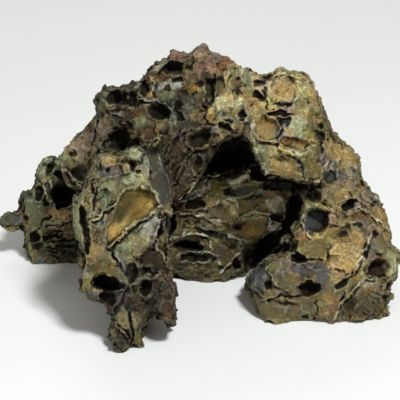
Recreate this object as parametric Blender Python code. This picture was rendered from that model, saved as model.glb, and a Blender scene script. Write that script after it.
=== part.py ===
"""Dragon stone: one weathered stone that arches over a cave and stands on four feet.

The stone is laid out on a chart, a flat sheet that leans back over it. A place on the chart is
(x, y) in millimetres, x to the right and y down from its top left corner, and its depth is how far
it stands out in front of the sheet. The lines through the chart meet at an apex in front of it.
Elsewhere lengths are metres, +Z is up and -Y is the front, and the origin is the middle of the
bottom of the stone's box.
"""

import math
from dataclasses import dataclass

import bmesh
import bpy
from mathutils import Matrix, Vector

MM = 0.001

# The chart: its lean, the place in its middle, where that lies, and how far off its apex is.
CHART_LEAN = math.radians(26)
CHART_MIDDLE = (200, 200)
CHART_CENTRE = Vector((0.0039, -0.0264, 0.110))
APEX_DISTANCE = 1600
CHART_RIGHT = Vector((1, 0, 0))
CHART_UP = Vector((0, math.sin(CHART_LEAN), math.cos(CHART_LEAN)))
CHART_OUT = Vector((0, -math.cos(CHART_LEAN), math.sin(CHART_LEAN)))

# How a mass rounds off from back to front: (place from 0 to 1, share of its outline).
PILLOW = (
    (-0.08, 0.42), (0.02, 0.72), (0.14, 0.90), (0.34, 1.0), (0.76, 1.0), (0.90, 0.94), (0.98, 0.80),
    (1.03, 0.50),
)

CARVED_VOXEL = 3.0 * MM
SMOOTHING_ROUNDS = 2
TRIANGLES = 8600
GROUND_BLOCK = 1.0
EGG_SUBDIVISIONS = 3

STONE_NAME = "dragon_stone"
STONE_COLOUR = (0.17, 0.13, 0.075, 1.0)
STONE_ROUGHNESS = 0.85


@dataclass(frozen=True)
class Mass:
    """One rounded mass: its outline on the chart, and its depths at its foot and its head."""

    outline: tuple
    front: tuple
    back: tuple
    turn: float = 0.0  # how much further out each millimetre to the right stands


@dataclass(frozen=True)
class Hollow:
    """An egg-shaped hollow: its place and depth on the chart, and its half sizes."""

    at: tuple
    depth: float
    size: tuple  # half width, half height, half depth
    roll: float = 0.0  # degrees anticlockwise on the chart
    sink: float = 0.0  # degrees that its inner end points down


# The slab that stands in front on the left, with its foot and its prong.
FRONT_SLAB = Mass(
    outline=(
        (98, 158), (112, 150), (128, 148), (150, 142), (160, 153), (169, 178), (172, 204),
        (167, 232), (168, 266), (175, 284), (173, 300), (178, 316), (176, 325), (167, 328),
        (157, 314), (148, 321), (141, 342), (130, 348), (122, 358), (109, 343), (107, 329),
        (112, 320), (105, 301), (96, 303), (79, 291), (79, 275), (84, 258), (80, 243),
        (72, 214), (80, 196), (88, 178),
    ),
    front=(56, 88),
    back=(4, 10),
)

# The cratered crown, upper left, which runs down beside the cave.
CROWN = Mass(
    outline=(
        (93, 122), (98, 113), (96, 101), (107, 88), (125, 82), (138, 79), (153, 68), (176, 49),
        (187, 55), (201, 45), (215, 54), (230, 57), (232, 72), (240, 100), (238, 126),
        (222, 140), (209, 160), (196, 184), (176, 201), (150, 216), (118, 212), (98, 180),
    ),
    front=(46, 58),
    back=(-62, -28),
    turn=0.05,
)

# The flank that falls from the crown to the left, down to the low mass behind.
LEFT_FLANK = Mass(
    outline=(
        (58, 160), (66, 147), (84, 128), (98, 112), (128, 96), (150, 130), (140, 190),
        (100, 205), (66, 185),
    ),
    front=(-22, 20),
    back=(-112, -70),
    turn=0.25,
)

# The pale mass on the upper right, whose lower edge hangs over the cave.
PALE_BROW = Mass(
    outline=(
        (226, 70), (240, 66), (254, 70), (267, 79), (283, 68), (303, 74), (315, 88), (322, 104),
        (333, 125), (333, 150), (328, 174), (318, 184), (298, 180), (276, 178), (263, 172),
        (252, 150), (243, 137), (226, 134), (215, 120), (214, 88),
    ),
    front=(48, 36),
    back=(-58, -48),
)

# The ochre mass on the right, which carries the brow and stands widest.
RIGHT_LEG = Mass(
    outline=(
        (322, 122), (336, 134), (349, 147), (360, 161), (358, 170), (369, 191), (380, 201),
        (390, 224), (391, 246), (400, 255), (397, 276), (389, 290), (384, 312), (370, 322),
        (346, 326), (332, 332), (311, 324), (288, 326), (274, 330), (256, 315), (254, 298),
        (246, 288), (250, 274), (262, 262), (281, 252), (292, 245), (297, 228), (301, 210),
        (306, 186), (312, 160), (312, 136),
    ),
    front=(12, 26),
    back=(-100, -92),
)

# The layered mass in the middle, set back under the crown and the brow.
MIDDLE_LEDGES = Mass(
    outline=(
        (150, 214), (180, 194), (206, 172), (236, 166), (270, 164), (302, 170), (308, 186),
        (291, 196), (288, 217), (271, 234), (248, 246), (243, 262), (249, 276), (228, 286),
        (201, 296), (182, 288), (164, 272), (140, 258),
    ),
    front=(-73, -40),
    back=(-152, -140),
)

# The low mass at the back on the left, with the knob that sticks out of it.
LOW_LEFT = Mass(
    outline=(
        (22, 213), (20, 200), (33, 187), (36, 176), (46, 162), (62, 155), (90, 145), (125, 150),
        (140, 200), (138, 276), (84, 276), (62, 276), (30, 272), (26, 250), (22, 234),
    ),
    front=(-107, -90),
    back=(-176, -160),
)
KNOB = Mass(
    outline=((1, 212), (14, 209), (34, 210), (40, 226), (26, 229), (10, 232), (0, 224)),
    front=(-106, -102),
    back=(-130, -126),
)

# The body behind, which closes the cave and joins every other mass.
SPINE = Mass(
    outline=(
        (88, 160), (112, 122), (150, 88), (190, 72), (230, 80), (275, 88), (310, 108), (326, 142),
        (346, 176), (350, 222), (340, 268), (290, 275), (200, 277), (110, 268), (80, 240),
        (76, 196),
    ),
    front=(-96, -10),
    back=(-158, -88),
)

# The two buttresses of the back, one under the crown and one under the brow.
BACK_BUTTRESS = Mass(
    outline=(
        (118, 196), (150, 140), (196, 104), (232, 112), (252, 160), (262, 214), (254, 284),
        (150, 286), (122, 250),
    ),
    front=(-122, -40),
    back=(-204, -128),
    turn=-0.1,
)
BACK_SHOULDER = Mass(
    outline=(
        (252, 128), (286, 106), (316, 124), (338, 164), (356, 206), (360, 262), (300, 280),
        (270, 236),
    ),
    front=(-90, -40),
    back=(-168, -136),
    turn=-0.25,
)

MASSES = (
    FRONT_SLAB, CROWN, LEFT_FLANK, PALE_BROW, RIGHT_LEG, MIDDLE_LEDGES, LOW_LEFT, KNOB, SPINE,
    BACK_BUTTRESS, BACK_SHOULDER,
)

# The cave under the brow, and the crevice between the ledges and the right leg.
CAVE = (
    Hollow(at=(236, 157), depth=-22, size=(25, 17, 76), roll=28, sink=-6),
    Hollow(at=(216, 164), depth=-16, size=(13, 8, 50), roll=35),
    Hollow(at=(262, 172), depth=-10, size=(22, 11, 44), roll=-15),
)
CREVICE = (
    Hollow(at=(296, 205), depth=-60, size=(7, 26, 56), roll=-10),
    Hollow(at=(274, 238), depth=-72, size=(36, 8, 60), roll=47),
)

# The widest pits and scoops of the front.
PITS = (
    Hollow(at=(118, 138), depth=66, size=(13, 17, 34), roll=20),
    Hollow(at=(134, 206), depth=92, size=(34, 14, 20), roll=48),
    Hollow(at=(316, 221), depth=20, size=(12, 12, 20)),
    Hollow(at=(379, 268), depth=6, size=(12, 8, 20), roll=10),
    Hollow(at=(106, 283), depth=58, size=(14, 8, 22), roll=-10),
    Hollow(at=(66, 190), depth=-94, size=(14, 11, 26), roll=-15),
    Hollow(at=(173, 68), depth=60, size=(10, 6, 18), roll=-10),
    Hollow(at=(114, 97), depth=58, size=(11, 7, 20), roll=10),
    Hollow(at=(284, 88), depth=48, size=(14, 11, 13)),
    Hollow(at=(190, 246), depth=-58, size=(14, 5, 22), roll=-12),
)

HOLLOWS = CAVE + CREVICE + PITS


def chart_point(x, y, depth):
    """The place in the stone's own frame of the chart place (x, y) at this depth."""
    nearness = (APEX_DISTANCE - depth) / APEX_DISTANCE
    right = (x - CHART_MIDDLE[0]) * nearness * MM
    up = (CHART_MIDDLE[1] - y) * nearness * MM
    return CHART_CENTRE + right * CHART_RIGHT + up * CHART_UP + depth * MM * CHART_OUT


def mass_point(mass, point, place, share):
    """A point of a mass's ring: `place` runs from its back to its front."""
    xs = [x for x, _ in mass.outline]
    ys = [y for _, y in mass.outline]
    middle_x = sum(xs) / len(xs)
    middle_y = sum(ys) / len(ys)
    x = middle_x + (point[0] - middle_x) * share
    y = middle_y + (point[1] - middle_y) * share
    height = (max(ys) - y) / (max(ys) - min(ys))
    front = mass.front[0] + (mass.front[1] - mass.front[0]) * height
    back = mass.back[0] + (mass.back[1] - mass.back[0]) * height
    depth = back + (front - back) * place + mass.turn * (x - middle_x)
    return chart_point(x, y, depth)


def add_mass(mesh, mass):
    """Adds a mass to a bmesh: its rings from back to front, joined and closed."""
    rings = [
        [mesh.verts.new(mass_point(mass, point, place, share)) for point in mass.outline]
        for place, share in PILLOW
    ]
    count = len(mass.outline)
    for lower, upper in zip(rings, rings[1:]):
        for index in range(count):
            following = (index + 1) % count
            mesh.faces.new((lower[index], lower[following], upper[following], upper[index]))
    mesh.faces.new(rings[0])
    mesh.faces.new(rings[-1])


def hollow_matrix(hollow):
    """The matrix that turns a unit sphere into the hollow."""
    axes = Matrix((CHART_RIGHT, CHART_UP, CHART_OUT)).transposed()
    turn = Matrix.Rotation(math.radians(hollow.sink), 3, "X")
    turn = turn @ Matrix.Rotation(math.radians(hollow.roll), 3, "Z")
    scale = Matrix.Diagonal(Vector(hollow.size) * MM)
    place = Matrix.Translation(chart_point(*hollow.at, hollow.depth))
    return place @ (axes @ turn @ scale).to_4x4()


def new_object(name, mesh):
    """A new object in the scene from a bmesh, which is freed."""
    bmesh.ops.recalc_face_normals(mesh, faces=mesh.faces[:])
    data = bpy.data.meshes.new(name)
    mesh.to_mesh(data)
    mesh.free()
    made = bpy.data.objects.new(name, data)
    bpy.context.scene.collection.objects.link(made)
    return made


def hide_tool(tool):
    """Marks an object as a cutter, which isn't part of the stone."""
    tool.hide_render = True
    tool.display_type = "WIRE"


def make_blank():
    """The masses of the stone as closed shells that overlap."""
    mesh = bmesh.new()
    for mass in MASSES:
        add_mass(mesh, mass)
    return new_object(STONE_NAME, mesh)


def make_hollow_cutter():
    """The hollows as eggs, which are cut from the stone."""
    mesh = bmesh.new()
    for hollow in HOLLOWS:
        bmesh.ops.create_icosphere(
            mesh, subdivisions=EGG_SUBDIVISIONS, radius=1.0, matrix=hollow_matrix(hollow)
        )
    cutter = new_object("hollow_cutter", mesh)
    hide_tool(cutter)
    return cutter


def make_ground_cutter():
    """A block whose top is the ground, which cuts the feet flat."""
    mesh = bmesh.new()
    bmesh.ops.create_cube(mesh, size=GROUND_BLOCK)
    bmesh.ops.translate(mesh, verts=mesh.verts[:], vec=(0, 0, -GROUND_BLOCK / 2))
    cutter = new_object("ground_cutter", mesh)
    hide_tool(cutter)
    return cutter


def add_remesh(stone, voxel):
    """Adds a voxel remesh, which joins the shells and evens out the faces."""
    remesh = stone.modifiers.new("Remesh", "REMESH")
    remesh.mode = "VOXEL"
    remesh.voxel_size = voxel


def add_cut(stone, cutter):
    """Adds a Boolean cut by a cutter whose own shells may overlap."""
    cut = stone.modifiers.new(cutter.name, "BOOLEAN")
    cut.operation = "DIFFERENCE"
    cut.solver = "EXACT"
    cut.use_self = True
    cut.object = cutter


def apply_modifiers(stone):
    """Bakes the stone's modifiers into its mesh."""
    graph = bpy.context.evaluated_depsgraph_get()
    baked = bpy.data.meshes.new_from_object(stone.evaluated_get(graph))
    stone.modifiers.clear()
    stone.data = baked


def largest_shell(stone):
    """Deletes every shell of the stone but the one with the most faces."""
    mesh = bmesh.new()
    mesh.from_mesh(stone.data)
    shells = []
    seen = set()
    for first in mesh.verts:
        if first in seen:
            continue
        seen.add(first)
        shell = [first]
        for vert in shell:
            for edge in vert.link_edges:
                other = edge.other_vert(vert)
                if other not in seen:
                    seen.add(other)
                    shell.append(other)
        shells.append(shell)
    shells.sort(key=len, reverse=True)
    for shell in shells[1:]:
        bmesh.ops.delete(mesh, geom=shell, context="VERTS")
    mesh.to_mesh(stone.data)
    mesh.free()


def carve(stone):
    """Cuts the hollows and joins the masses into one rounded body."""
    add_cut(stone, make_hollow_cutter())
    add_remesh(stone, CARVED_VOXEL)
    smooth = stone.modifiers.new("Smooth", "SMOOTH")
    smooth.iterations = SMOOTHING_ROUNDS
    apply_modifiers(stone)
    largest_shell(stone)


def simplify(stone):
    """Brings the stone to its number of triangles and stands it on the ground."""
    sides = sum(len(face.vertices) - 2 for face in stone.data.polygons)
    decimate = stone.modifiers.new("Decimate", "DECIMATE")
    decimate.ratio = TRIANGLES / sides
    decimate.use_collapse_triangulate = True
    add_cut(stone, make_ground_cutter())
    apply_modifiers(stone)
    largest_shell(stone)


def dress(stone):
    """Gives the stone its material."""
    material = bpy.data.materials.new("weathered_stone")
    material.use_nodes = True
    shader = material.node_tree.nodes["Principled BSDF"]
    shader.inputs["Base Color"].default_value = STONE_COLOUR
    shader.inputs["Roughness"].default_value = STONE_ROUGHNESS
    shader.inputs["Metallic"].default_value = 0.0
    material.diffuse_color = STONE_COLOUR
    stone.data.materials.clear()
    stone.data.materials.append(material)


def main():
    """Clears the scene and makes the stone."""
    for old in list(bpy.data.objects):
        bpy.data.objects.remove(old)
    stone = make_blank()
    carve(stone)
    simplify(stone)
    dress(stone)


main()
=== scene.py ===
"""Dragon stone: the weathered surface of one stone that arches over a dark cave.

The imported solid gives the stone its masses. This script copies it, adds the knobs of its crest,
presses the scoops, pits and grooves of its front one by one, covers the rest with weathering of
several sizes, and dresses it in ochre, olive, slate and rust. The surface is carved in code, because
a stone's scoops have no edges or faces that an edit-mode tool could pick out.

The stone is laid out on the same chart as its solid: a flat sheet that leans back over it. A place
on the chart is (x, y) in millimetres, x to the right and y down from its top left corner, and its
depth is how far it stands in front of the sheet. The camera is at the chart's apex.
"""

import logging
import math
from dataclasses import dataclass
from enum import Enum

import bpy
import numpy as np
from mathutils import Matrix, Vector
from mathutils.bvhtree import BVHTree


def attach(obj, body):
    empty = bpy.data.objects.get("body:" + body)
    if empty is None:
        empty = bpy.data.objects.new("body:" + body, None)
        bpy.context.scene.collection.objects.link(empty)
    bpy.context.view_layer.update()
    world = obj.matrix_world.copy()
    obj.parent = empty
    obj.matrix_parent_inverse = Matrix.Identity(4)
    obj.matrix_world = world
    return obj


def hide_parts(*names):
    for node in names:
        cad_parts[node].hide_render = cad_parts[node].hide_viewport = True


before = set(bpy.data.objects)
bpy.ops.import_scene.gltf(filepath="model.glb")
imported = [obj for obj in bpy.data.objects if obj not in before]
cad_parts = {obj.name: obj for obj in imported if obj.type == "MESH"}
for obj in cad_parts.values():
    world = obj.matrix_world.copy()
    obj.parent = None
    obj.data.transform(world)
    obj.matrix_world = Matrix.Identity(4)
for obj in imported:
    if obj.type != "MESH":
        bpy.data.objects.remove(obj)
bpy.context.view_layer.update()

LOG = logging.getLogger("dragon_stone")
STONE = "dragon_stone"
SLOT = "weathered_stone"
MM = 0.001
ALBEDO = 0.5  # of the light that a colour reflects in even light
TINY = 1e-9  # keeps a share of nothing from dividing by zero
UNDERCUT = 3.2  # how far below a ridge its undercut lies, in mm

Point = tuple[float, float]
Place = tuple[float, float, float]


class Hue(Enum):
    """The stone's colours, as they look in even light (sRGB, 0 to 255); some are painted light or shade."""

    # painted shade in the deep pits, hollows, cave and undercuts, and the colour of soil and dark cracks
    BLACK = (30, 20, 5)
    CHARCOAL = (48, 47, 36)
    SLATE = (92, 95, 100)
    DARK_SLATE = (72, 75, 78)
    PURPLE = (100, 92, 104)
    MAUVE = (140, 120, 112)
    MAROON = (74, 44, 32)
    BROWN = (108, 84, 56)
    DARK_BROWN = (84, 68, 48)
    UMBER = (62, 52, 38)
    DRAB = (126, 117, 86)
    RUST = (140, 92, 54)
    PINK = (156, 116, 102)
    OCHRE = (186, 150, 78)
    GOLD = (208, 178, 104)
    PEACH = (204, 172, 118)
    TAN = (184, 158, 102)
    OLIVE = (144, 138, 80)
    DARK_OLIVE = (90, 84, 50)
    GREY_GREEN = (124, 128, 98)
    DARK_GREEN = (80, 84, 70)
    PALE_GREEN = (178, 180, 140)
    CREAM = (222, 210, 156)
    PALE_GREY = (186, 184, 172)
    FROST = (214, 212, 190)
    # painted glow: light pooled in the great scoop and beside it
    PAINTED_GLOW = (240, 204, 122)
    DUSTY = (172, 152, 134)
    ASH = (136, 129, 108)
    # painted highlight along the lit ridges and rims
    RIDGE_HIGHLIGHT = (255, 252, 232)

    def linear(self) -> np.ndarray:
        """Returns the colour as three linear values."""
        share = np.array(self.value, dtype=np.float64) / 255.0
        return ALBEDO * np.where(share <= 0.04045, share / 12.92, ((share + 0.055) / 1.055) ** 2.4)


# The tables below name the hues without their class.
(
    BLACK, CHARCOAL, SLATE, DARK_SLATE, PURPLE, MAUVE, MAROON, BROWN, DARK_BROWN, UMBER, DRAB, RUST,
    PINK, OCHRE, GOLD, PEACH, TAN, OLIVE, DARK_OLIVE, GREY_GREEN, DARK_GREEN, PALE_GREEN, CREAM,
    PALE_GREY, FROST, PAINTED_GLOW, DUSTY, ASH, RIDGE_HIGHLIGHT,
) = Hue


def pairs(text: str) -> tuple[Point, ...]:
    """Returns the points of a text of x,y pairs with spaces between them."""
    return tuple((float(x), float(y)) for x, y in (pair.split(",") for pair in text.split()))


@dataclass(frozen=True)
class Mark:
    """A scoop, pit, knob or stain: where its middle is, its half width and half height."""

    name: str
    x: float
    y: float
    wide: float
    high: float
    hue: Hue
    sunk: float = 0.0  # depth in mm; below zero it is a swelling
    roll: float = 0.0  # degrees anticlockwise
    calm: float = 0.0  # how much of the fine weathering it is free of
    tint: float = 0.85  # how much of its hue covers what is under it


@dataclass(frozen=True)
class Patch:
    """A scoop, hollow or plate with a drawn outline, given as x,y pairs."""

    name: str
    hue: Hue
    outline: str
    sunk: float = 0.0  # depth in mm; below zero it is a swelling
    wall: float = 3.0  # how far inside its outline the full depth is reached
    calm: float = 0.5
    tint: float = 0.85
    steep: float = 90.0  # the way to its deepest side, in degrees anticlockwise from right

    @property
    def corners(self) -> tuple[Point, ...]:
        """Returns the corners of its outline."""
        return pairs(self.outline)


@dataclass(frozen=True)
class Crease:
    """A ridge or groove along a line, given as x,y pairs."""

    name: str
    line: str
    width: float
    rise: float  # height in mm; below zero it is a groove
    hue: Hue
    tint: float = 0.8

    @property
    def points(self) -> tuple[Point, ...]:
        """Returns the points of its line."""
        return pairs(self.line)


@dataclass(frozen=True)
class Bedding:
    """A field of thin layers that weathering has opened: where it is and how its layers run."""

    name: str
    at: Point
    size: Point
    roll: float
    spacing: float
    sunk: float


@dataclass(frozen=True)
class Zone:
    """A stretch of the stone with one base colour: its middle on the chart, its depth and reach."""

    name: str
    at: Place
    reach: float
    hue: Hue
    rough: float = 1.0  # how strongly the weathering bites there

    def weight(self, distance: np.ndarray) -> np.ndarray:
        """Returns how strongly the zone counts at distances in mm from its middle."""
        return np.exp(-3.0 * (distance / self.reach) ** 2)


@dataclass(frozen=True)
class Lump:
    """A knob that stands out of the crest or the rim."""

    name: str
    at: Place
    size: Place
    roll: float = 0.0


# painted shade and light in the zone hues: low mass and ledges darker, brow lighter, as light falls
ZONES = (
    Zone("low mass", (62, 215, -135), 58, DARK_GREEN, 0.9),
    Zone("knob", (10, 220, -116), 20, GREY_GREEN, 0.6),
    Zone("left flank", (88, 142, -40), 38, DUSTY, 0.6),
    Zone("crown", (140, 102, 30), 48, DARK_BROWN, 0.95),
    Zone("crown crest", (198, 62, 30), 32, MAUVE, 0.75),
    Zone("crown foot", (185, 155, 30), 34, DARK_OLIVE, 0.8),
    Zone("slab head", (110, 190, 70), 42, ASH, 1.0),
    Zone("slab body", (120, 240, 60), 40, ASH, 1.0),
    Zone("slab shaft", (130, 290, 50), 34, DARK_BROWN, 0.9),
    Zone("slab foot", (125, 335, 50), 26, DARK_OLIVE, 0.9),
    Zone("brow", (272, 120, 10), 62, TAN, 0.8),
    Zone("brow edge", (326, 118, 10), 20, DARK_OLIVE, 0.9),
    Zone("right head", (348, 165, 0), 42, DRAB, 0.9),
    Zone("right side", (372, 230, -30), 46, DRAB, 1.0),
    Zone("right body", (325, 245, -10), 46, TAN, 0.8),
    Zone("right foot", (290, 298, -10), 50, DARK_OLIVE, 0.8),
    Zone("ledges", (222, 222, -90), 60, DARK_OLIVE, 0.9),
    Zone("back left", (140, 170, -140), 60, GREY_GREEN, 1.0),
    Zone("back middle", (210, 150, -150), 60, BROWN, 1.0),
    Zone("back right", (300, 170, -140), 60, OLIVE, 1.0),
)

LUMPS = (
    Lump("crest spike", (224, 61, 30), (6, 4.5, 7), 30),
    Lump("crest middle", (200, 56, 25), (10, 7, 14)),
    Lump("crest left", (176, 55, 28), (8, 6, 12)),
    Lump("crown left", (106, 96, 34), (11, 9, 16)),
    Lump("crown step", (132, 85, 30), (8, 6, 12)),
    Lump("crown step high", (144, 79, 30), (7, 6, 12), 30),
    Lump("brow left top", (244, 73, 10), (13, 7, 16)),
    Lump("brow right top", (282, 76, 8), (12, 8, 16)),
    Lump("brow corner", (307, 96, 4), (8, 9, 16), -40),
    Lump("brow edge", (328, 128, 0), (6, 10, 16)),
    Lump("right shoulder", (354, 160, -10), (6, 6, 14)),
    Lump("right flank", (363, 186, -14), (9, 9, 14)),
    Lump("right nub", (378, 198, -10), (8, 7, 10)),
    Lump("right side", (386, 228, -20), (6, 10, 18)),
    Lump("right corner", (389, 258, -14), (12, 10, 16)),
    Lump("right foot", (376, 312, -16), (12, 9, 16)),
    Lump("right foot middle", (331, 323, -2), (6, 4, 9)),
    Lump("right foot left", (275, 320, -4), (12, 5, 12)),
    Lump("left elbow", (86, 287, 40), (9, 8, 12)),
    Lump("left elbow top", (88, 271, 42), (8, 10, 10)),
    Lump("right foot front", (360, 319, -3), (14, 5, 10)),
    Lump("left elbow tip", (96, 299, 40), (4, 5, 7)),
    Lump("prong", (170, 300, 30), (8, 14, 12)),
    Lump("prong tip", (168, 322, 28), (7, 6, 8), 10),
    Lump("foot toe", (137, 338, 42), (7, 10, 9)),
    Lump("foot heel", (121, 344, 48), (9, 10, 9)),
    Lump("low mass brow", (52, 162, -112), (14, 6, 14)),
    Lump("low mass edge", (30, 200, -112), (9, 12, 14)),
    Lump("knob head", (8, 216, -116), (8, 7, 9)),
    Lump("knob chin", (8, 226, -116), (5, 5, 7)),
    Lump("slab knob", (135, 153, 88), (8, 6, 9)),
    Lump("left flange", (75, 214, 50), (4, 20, 9)),
    Lump("crevice head", (297, 191, -70), (6, 7, 18)),
    Lump("crevice sill", (291, 239, -10), (9, 7, 16)),
    Lump("ledge lip", (275, 226, -60), (8, 5, 8)),
    Lump("great pit floor", (315, 222, 0), (12, 11, 9)),
    Lump("red cave floor", (378, 268, -11), (12, 8, 14)),
)

LOW_MASS_MARKS = (
    Mark("knob pale end", 6, 219, 5, 7, DARK_GREEN, calm=0.8),
    Mark("knob blue side", 17, 219, 7, 6, SLATE, 1, calm=0.8),
    Mark("knob chin", 7, 227, 4, 3, OLIVE),
    Mark("knob root pit", 27, 217, 2.5, 3.2, BLACK, 6),
    Mark("pale brow", 60, 161, 24, 4, PALE_GREEN, -1, roll=2),
    Mark("pale brow left", 43, 168, 5, 9, PALE_GREEN, -1, roll=-30),
    Mark("grey band in hollow", 62, 183, 9, 3, GREY_GREEN, 6, calm=0.8),
    Mark("tan patch", 57, 218, 12, 12, PEACH, tint=0.9),
    Mark("maroon pit", 37, 246, 6, 5, MAROON, 5),
    Mark("dark right foot", 70, 250, 16, 12, CHARCOAL, 3),
    Mark("dark layers", 60, 252, 22, 9, CHARCOAL, 2, tint=0.7),
    Mark("pale left foot", 33, 253, 4, 4, GREY_GREEN, tint=0.5),
    Mark("left edge shade", 33, 180, 3, 8, CHARCOAL, 2),
    Mark("edge pit", 30, 195, 4, 3, CHARCOAL, 4),
)

FLANK_MARKS = (
    Mark("brown scoop", 90, 127, 6, 5, BROWN, 4, calm=0.4),
    Mark("mauve plate", 84, 142, 12, 8, DUSTY, roll=35, calm=0.6),
    Mark("rust pit", 72, 153, 6, 3.5, MAROON, 5),
    Mark("grey patch", 79, 150, 7, 6, DUSTY, calm=0.4),
    Mark("pink patch", 104, 128, 6, 8, MAUVE, tint=0.6),
    Mark("grey plate", 104, 143, 9, 10, GREY_GREEN, calm=0.6, tint=0.6),
)

SLAB_MARKS = (
    Mark("inner plate", 88, 216, 3, 10, GREY_GREEN, 1, calm=0.8),
    Mark("upper left ridges", 89, 178, 7, 26, DRAB, roll=-6),
    Mark("reddish groove", 93, 188, 2, 12, BROWN, 4),
    Mark("band pit", 107, 170, 2.2, 2, BLACK, 5),
    Mark("tan hole", 139, 172, 3.6, 2.6, BROWN, 5),
    Mark("blade head", 150, 151, 8, 5, BLACK, 2, calm=0.6),
    Mark("blade tip", 167, 208, 4, 6, TAN, roll=20, calm=0.6, tint=0.5),
    Mark("pale green stain", 112, 186, 6, 8, PALE_GREEN, tint=0.5),
    Mark("blue groove", 113, 203, 2, 6, DARK_SLATE, 4, roll=-40),
    Mark("rough cream", 135, 180, 14, 8, PALE_GREEN, -1, roll=-4),
    Mark("scoop brown", 113, 219, 12, 6, BROWN, roll=50, tint=0.5),
    Mark("green stain", 146, 240, 6, 5, PALE_GREEN),
    Mark("right shade", 154, 252, 7, 14, BLACK, tint=0.5),
    Mark("ochre crust", 98, 240, 8, 12, BROWN, tint=0.6),
    Mark("tan crust", 92, 252, 8, 12, TAN, tint=0.7),
    Mark("olive elbow", 85, 283, 7, 8, OLIVE, -1),
    Mark("grey elbow", 90, 295, 6, 5, DARK_GREEN),
    Mark("cream tongue", 131, 255, 6, 5, OLIVE, -1, roll=30),
    Mark("rust prong root", 163, 278, 6, 7, DARK_BROWN, tint=0.5),
    Mark("grey prong face", 156, 288, 5, 10, CHARCOAL, 1, calm=0.6, tint=0.6),
    Mark("pink prong", 173, 291, 3, 8, MAUVE, tint=0.5),
    Mark("prong brown", 168, 312, 7, 11, BROWN, tint=0.4),
    Mark("shaft mauve", 122, 294, 7, 14, PURPLE, calm=0.4, tint=0.4),
    Mark("shaft right", 146, 305, 7, 8, CHARCOAL, 1, tint=0.5),
    Mark("dark edge", 146, 322, 5, 14, DARK_OLIVE, 2, roll=-12, tint=0.6),
    Mark("black slit low", 113, 314, 2.2, 7, BLACK, 9, roll=-6),
    Mark("rust chip", 109, 306, 4, 5, RUST, tint=0.6),
    Mark("foot brown", 118, 337, 8, 10, UMBER, tint=0.6),
    Mark("foot green", 111, 334, 4, 8, GREY_GREEN),
    Mark("toe pale", 138, 337, 5, 7, OLIVE, tint=0.5),
)

# painted light and painted shade, with a few plain tints: soft marks that lighten or darken the stone
PAINTED_LIGHT_AND_SHADE = (
    Mark("scoop shade", 124, 205, 8, 16, DARK_OLIVE, roll=-35, tint=0.75),
    Mark("scoop glow", 147, 201, 13, 10, PAINTED_GLOW, roll=20, tint=0.65),
    Mark("scoop gold", 118, 232, 8, 15, PAINTED_GLOW, roll=-38, tint=0.55),
    Mark("crown shade", 172, 123, 8, 10, CHARCOAL, tint=0.4),
    Mark("scoop dusk", 118, 216, 6, 11, DARK_OLIVE, roll=-30, tint=0.4),
    Mark("shaft dusk", 148, 252, 8, 8, CHARCOAL, tint=0.45),
    Mark("side dusk", 352, 217, 8, 9, BROWN, tint=0.4),
    Mark("crown light", 111, 113, 13, 5, ASH, tint=0.9),
    Mark("low light left", 46, 178, 4, 7, PALE_GREEN, tint=0.5),
    Mark("low light mid", 55, 224, 9, 6, PALE_GREEN, tint=0.7),
    Mark("shaft light", 130, 241, 8, 9, PALE_GREEN, tint=0.75),
    Mark("slab light", 145, 170, 4, 8, PALE_GREY, tint=0.5),
    Mark("ledge light", 199, 188, 10, 6, FROST, roll=30, tint=0.5),
    Mark("ledge tan", 217, 205, 9, 6, TAN, tint=0.5),
    Mark("brow light", 276, 152, 9, 8, CREAM, tint=0.4),
    Mark("cup glow", 283, 90, 8, 6, GOLD, tint=0.6),
    Mark("cup shade", 291, 80, 8, 5, DRAB, tint=0.5),
    Mark("brow dusk", 262, 113, 6, 9, DRAB, tint=0.45),
    Mark("cheek dusk", 314, 156, 8, 7, DARK_OLIVE, tint=0.5),
    Mark("blade dusk", 160, 183, 8, 28, CHARCOAL, roll=14, tint=0.4),
    Mark("tan plate low", 96, 252, 10, 8, TAN, calm=0.8, tint=0.6),
    Mark("body dusk", 352, 240, 16, 14, DRAB, tint=0.35),
    Mark("face dusk", 196, 246, 30, 12, UMBER, tint=0.3),
    Mark("brim dusk", 297, 228, 6, 10, DARK_OLIVE, tint=0.5),
    Mark("leg dusk", 329, 231, 12, 11, DRAB, tint=0.4),
    Mark("foot dusk", 345, 312, 22, 7, DARK_OLIVE, tint=0.5),
    Mark("edge dusk", 256, 116, 5, 8, DRAB, tint=0.4),
    Mark("neck dusk", 176, 108, 10, 14, CHARCOAL, tint=0.45),
    Mark("crest tan", 200, 56, 9, 4, TAN, tint=0.55),
    Mark("pocket dusk", 77, 171, 11, 8, DARK_GREEN, tint=0.75),
    Mark("low light top", 68, 160, 12, 3.5, GREY_GREEN, tint=0.6),
    Mark("brow left dusk", 228, 104, 9, 7, DRAB, tint=0.3),
)

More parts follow.
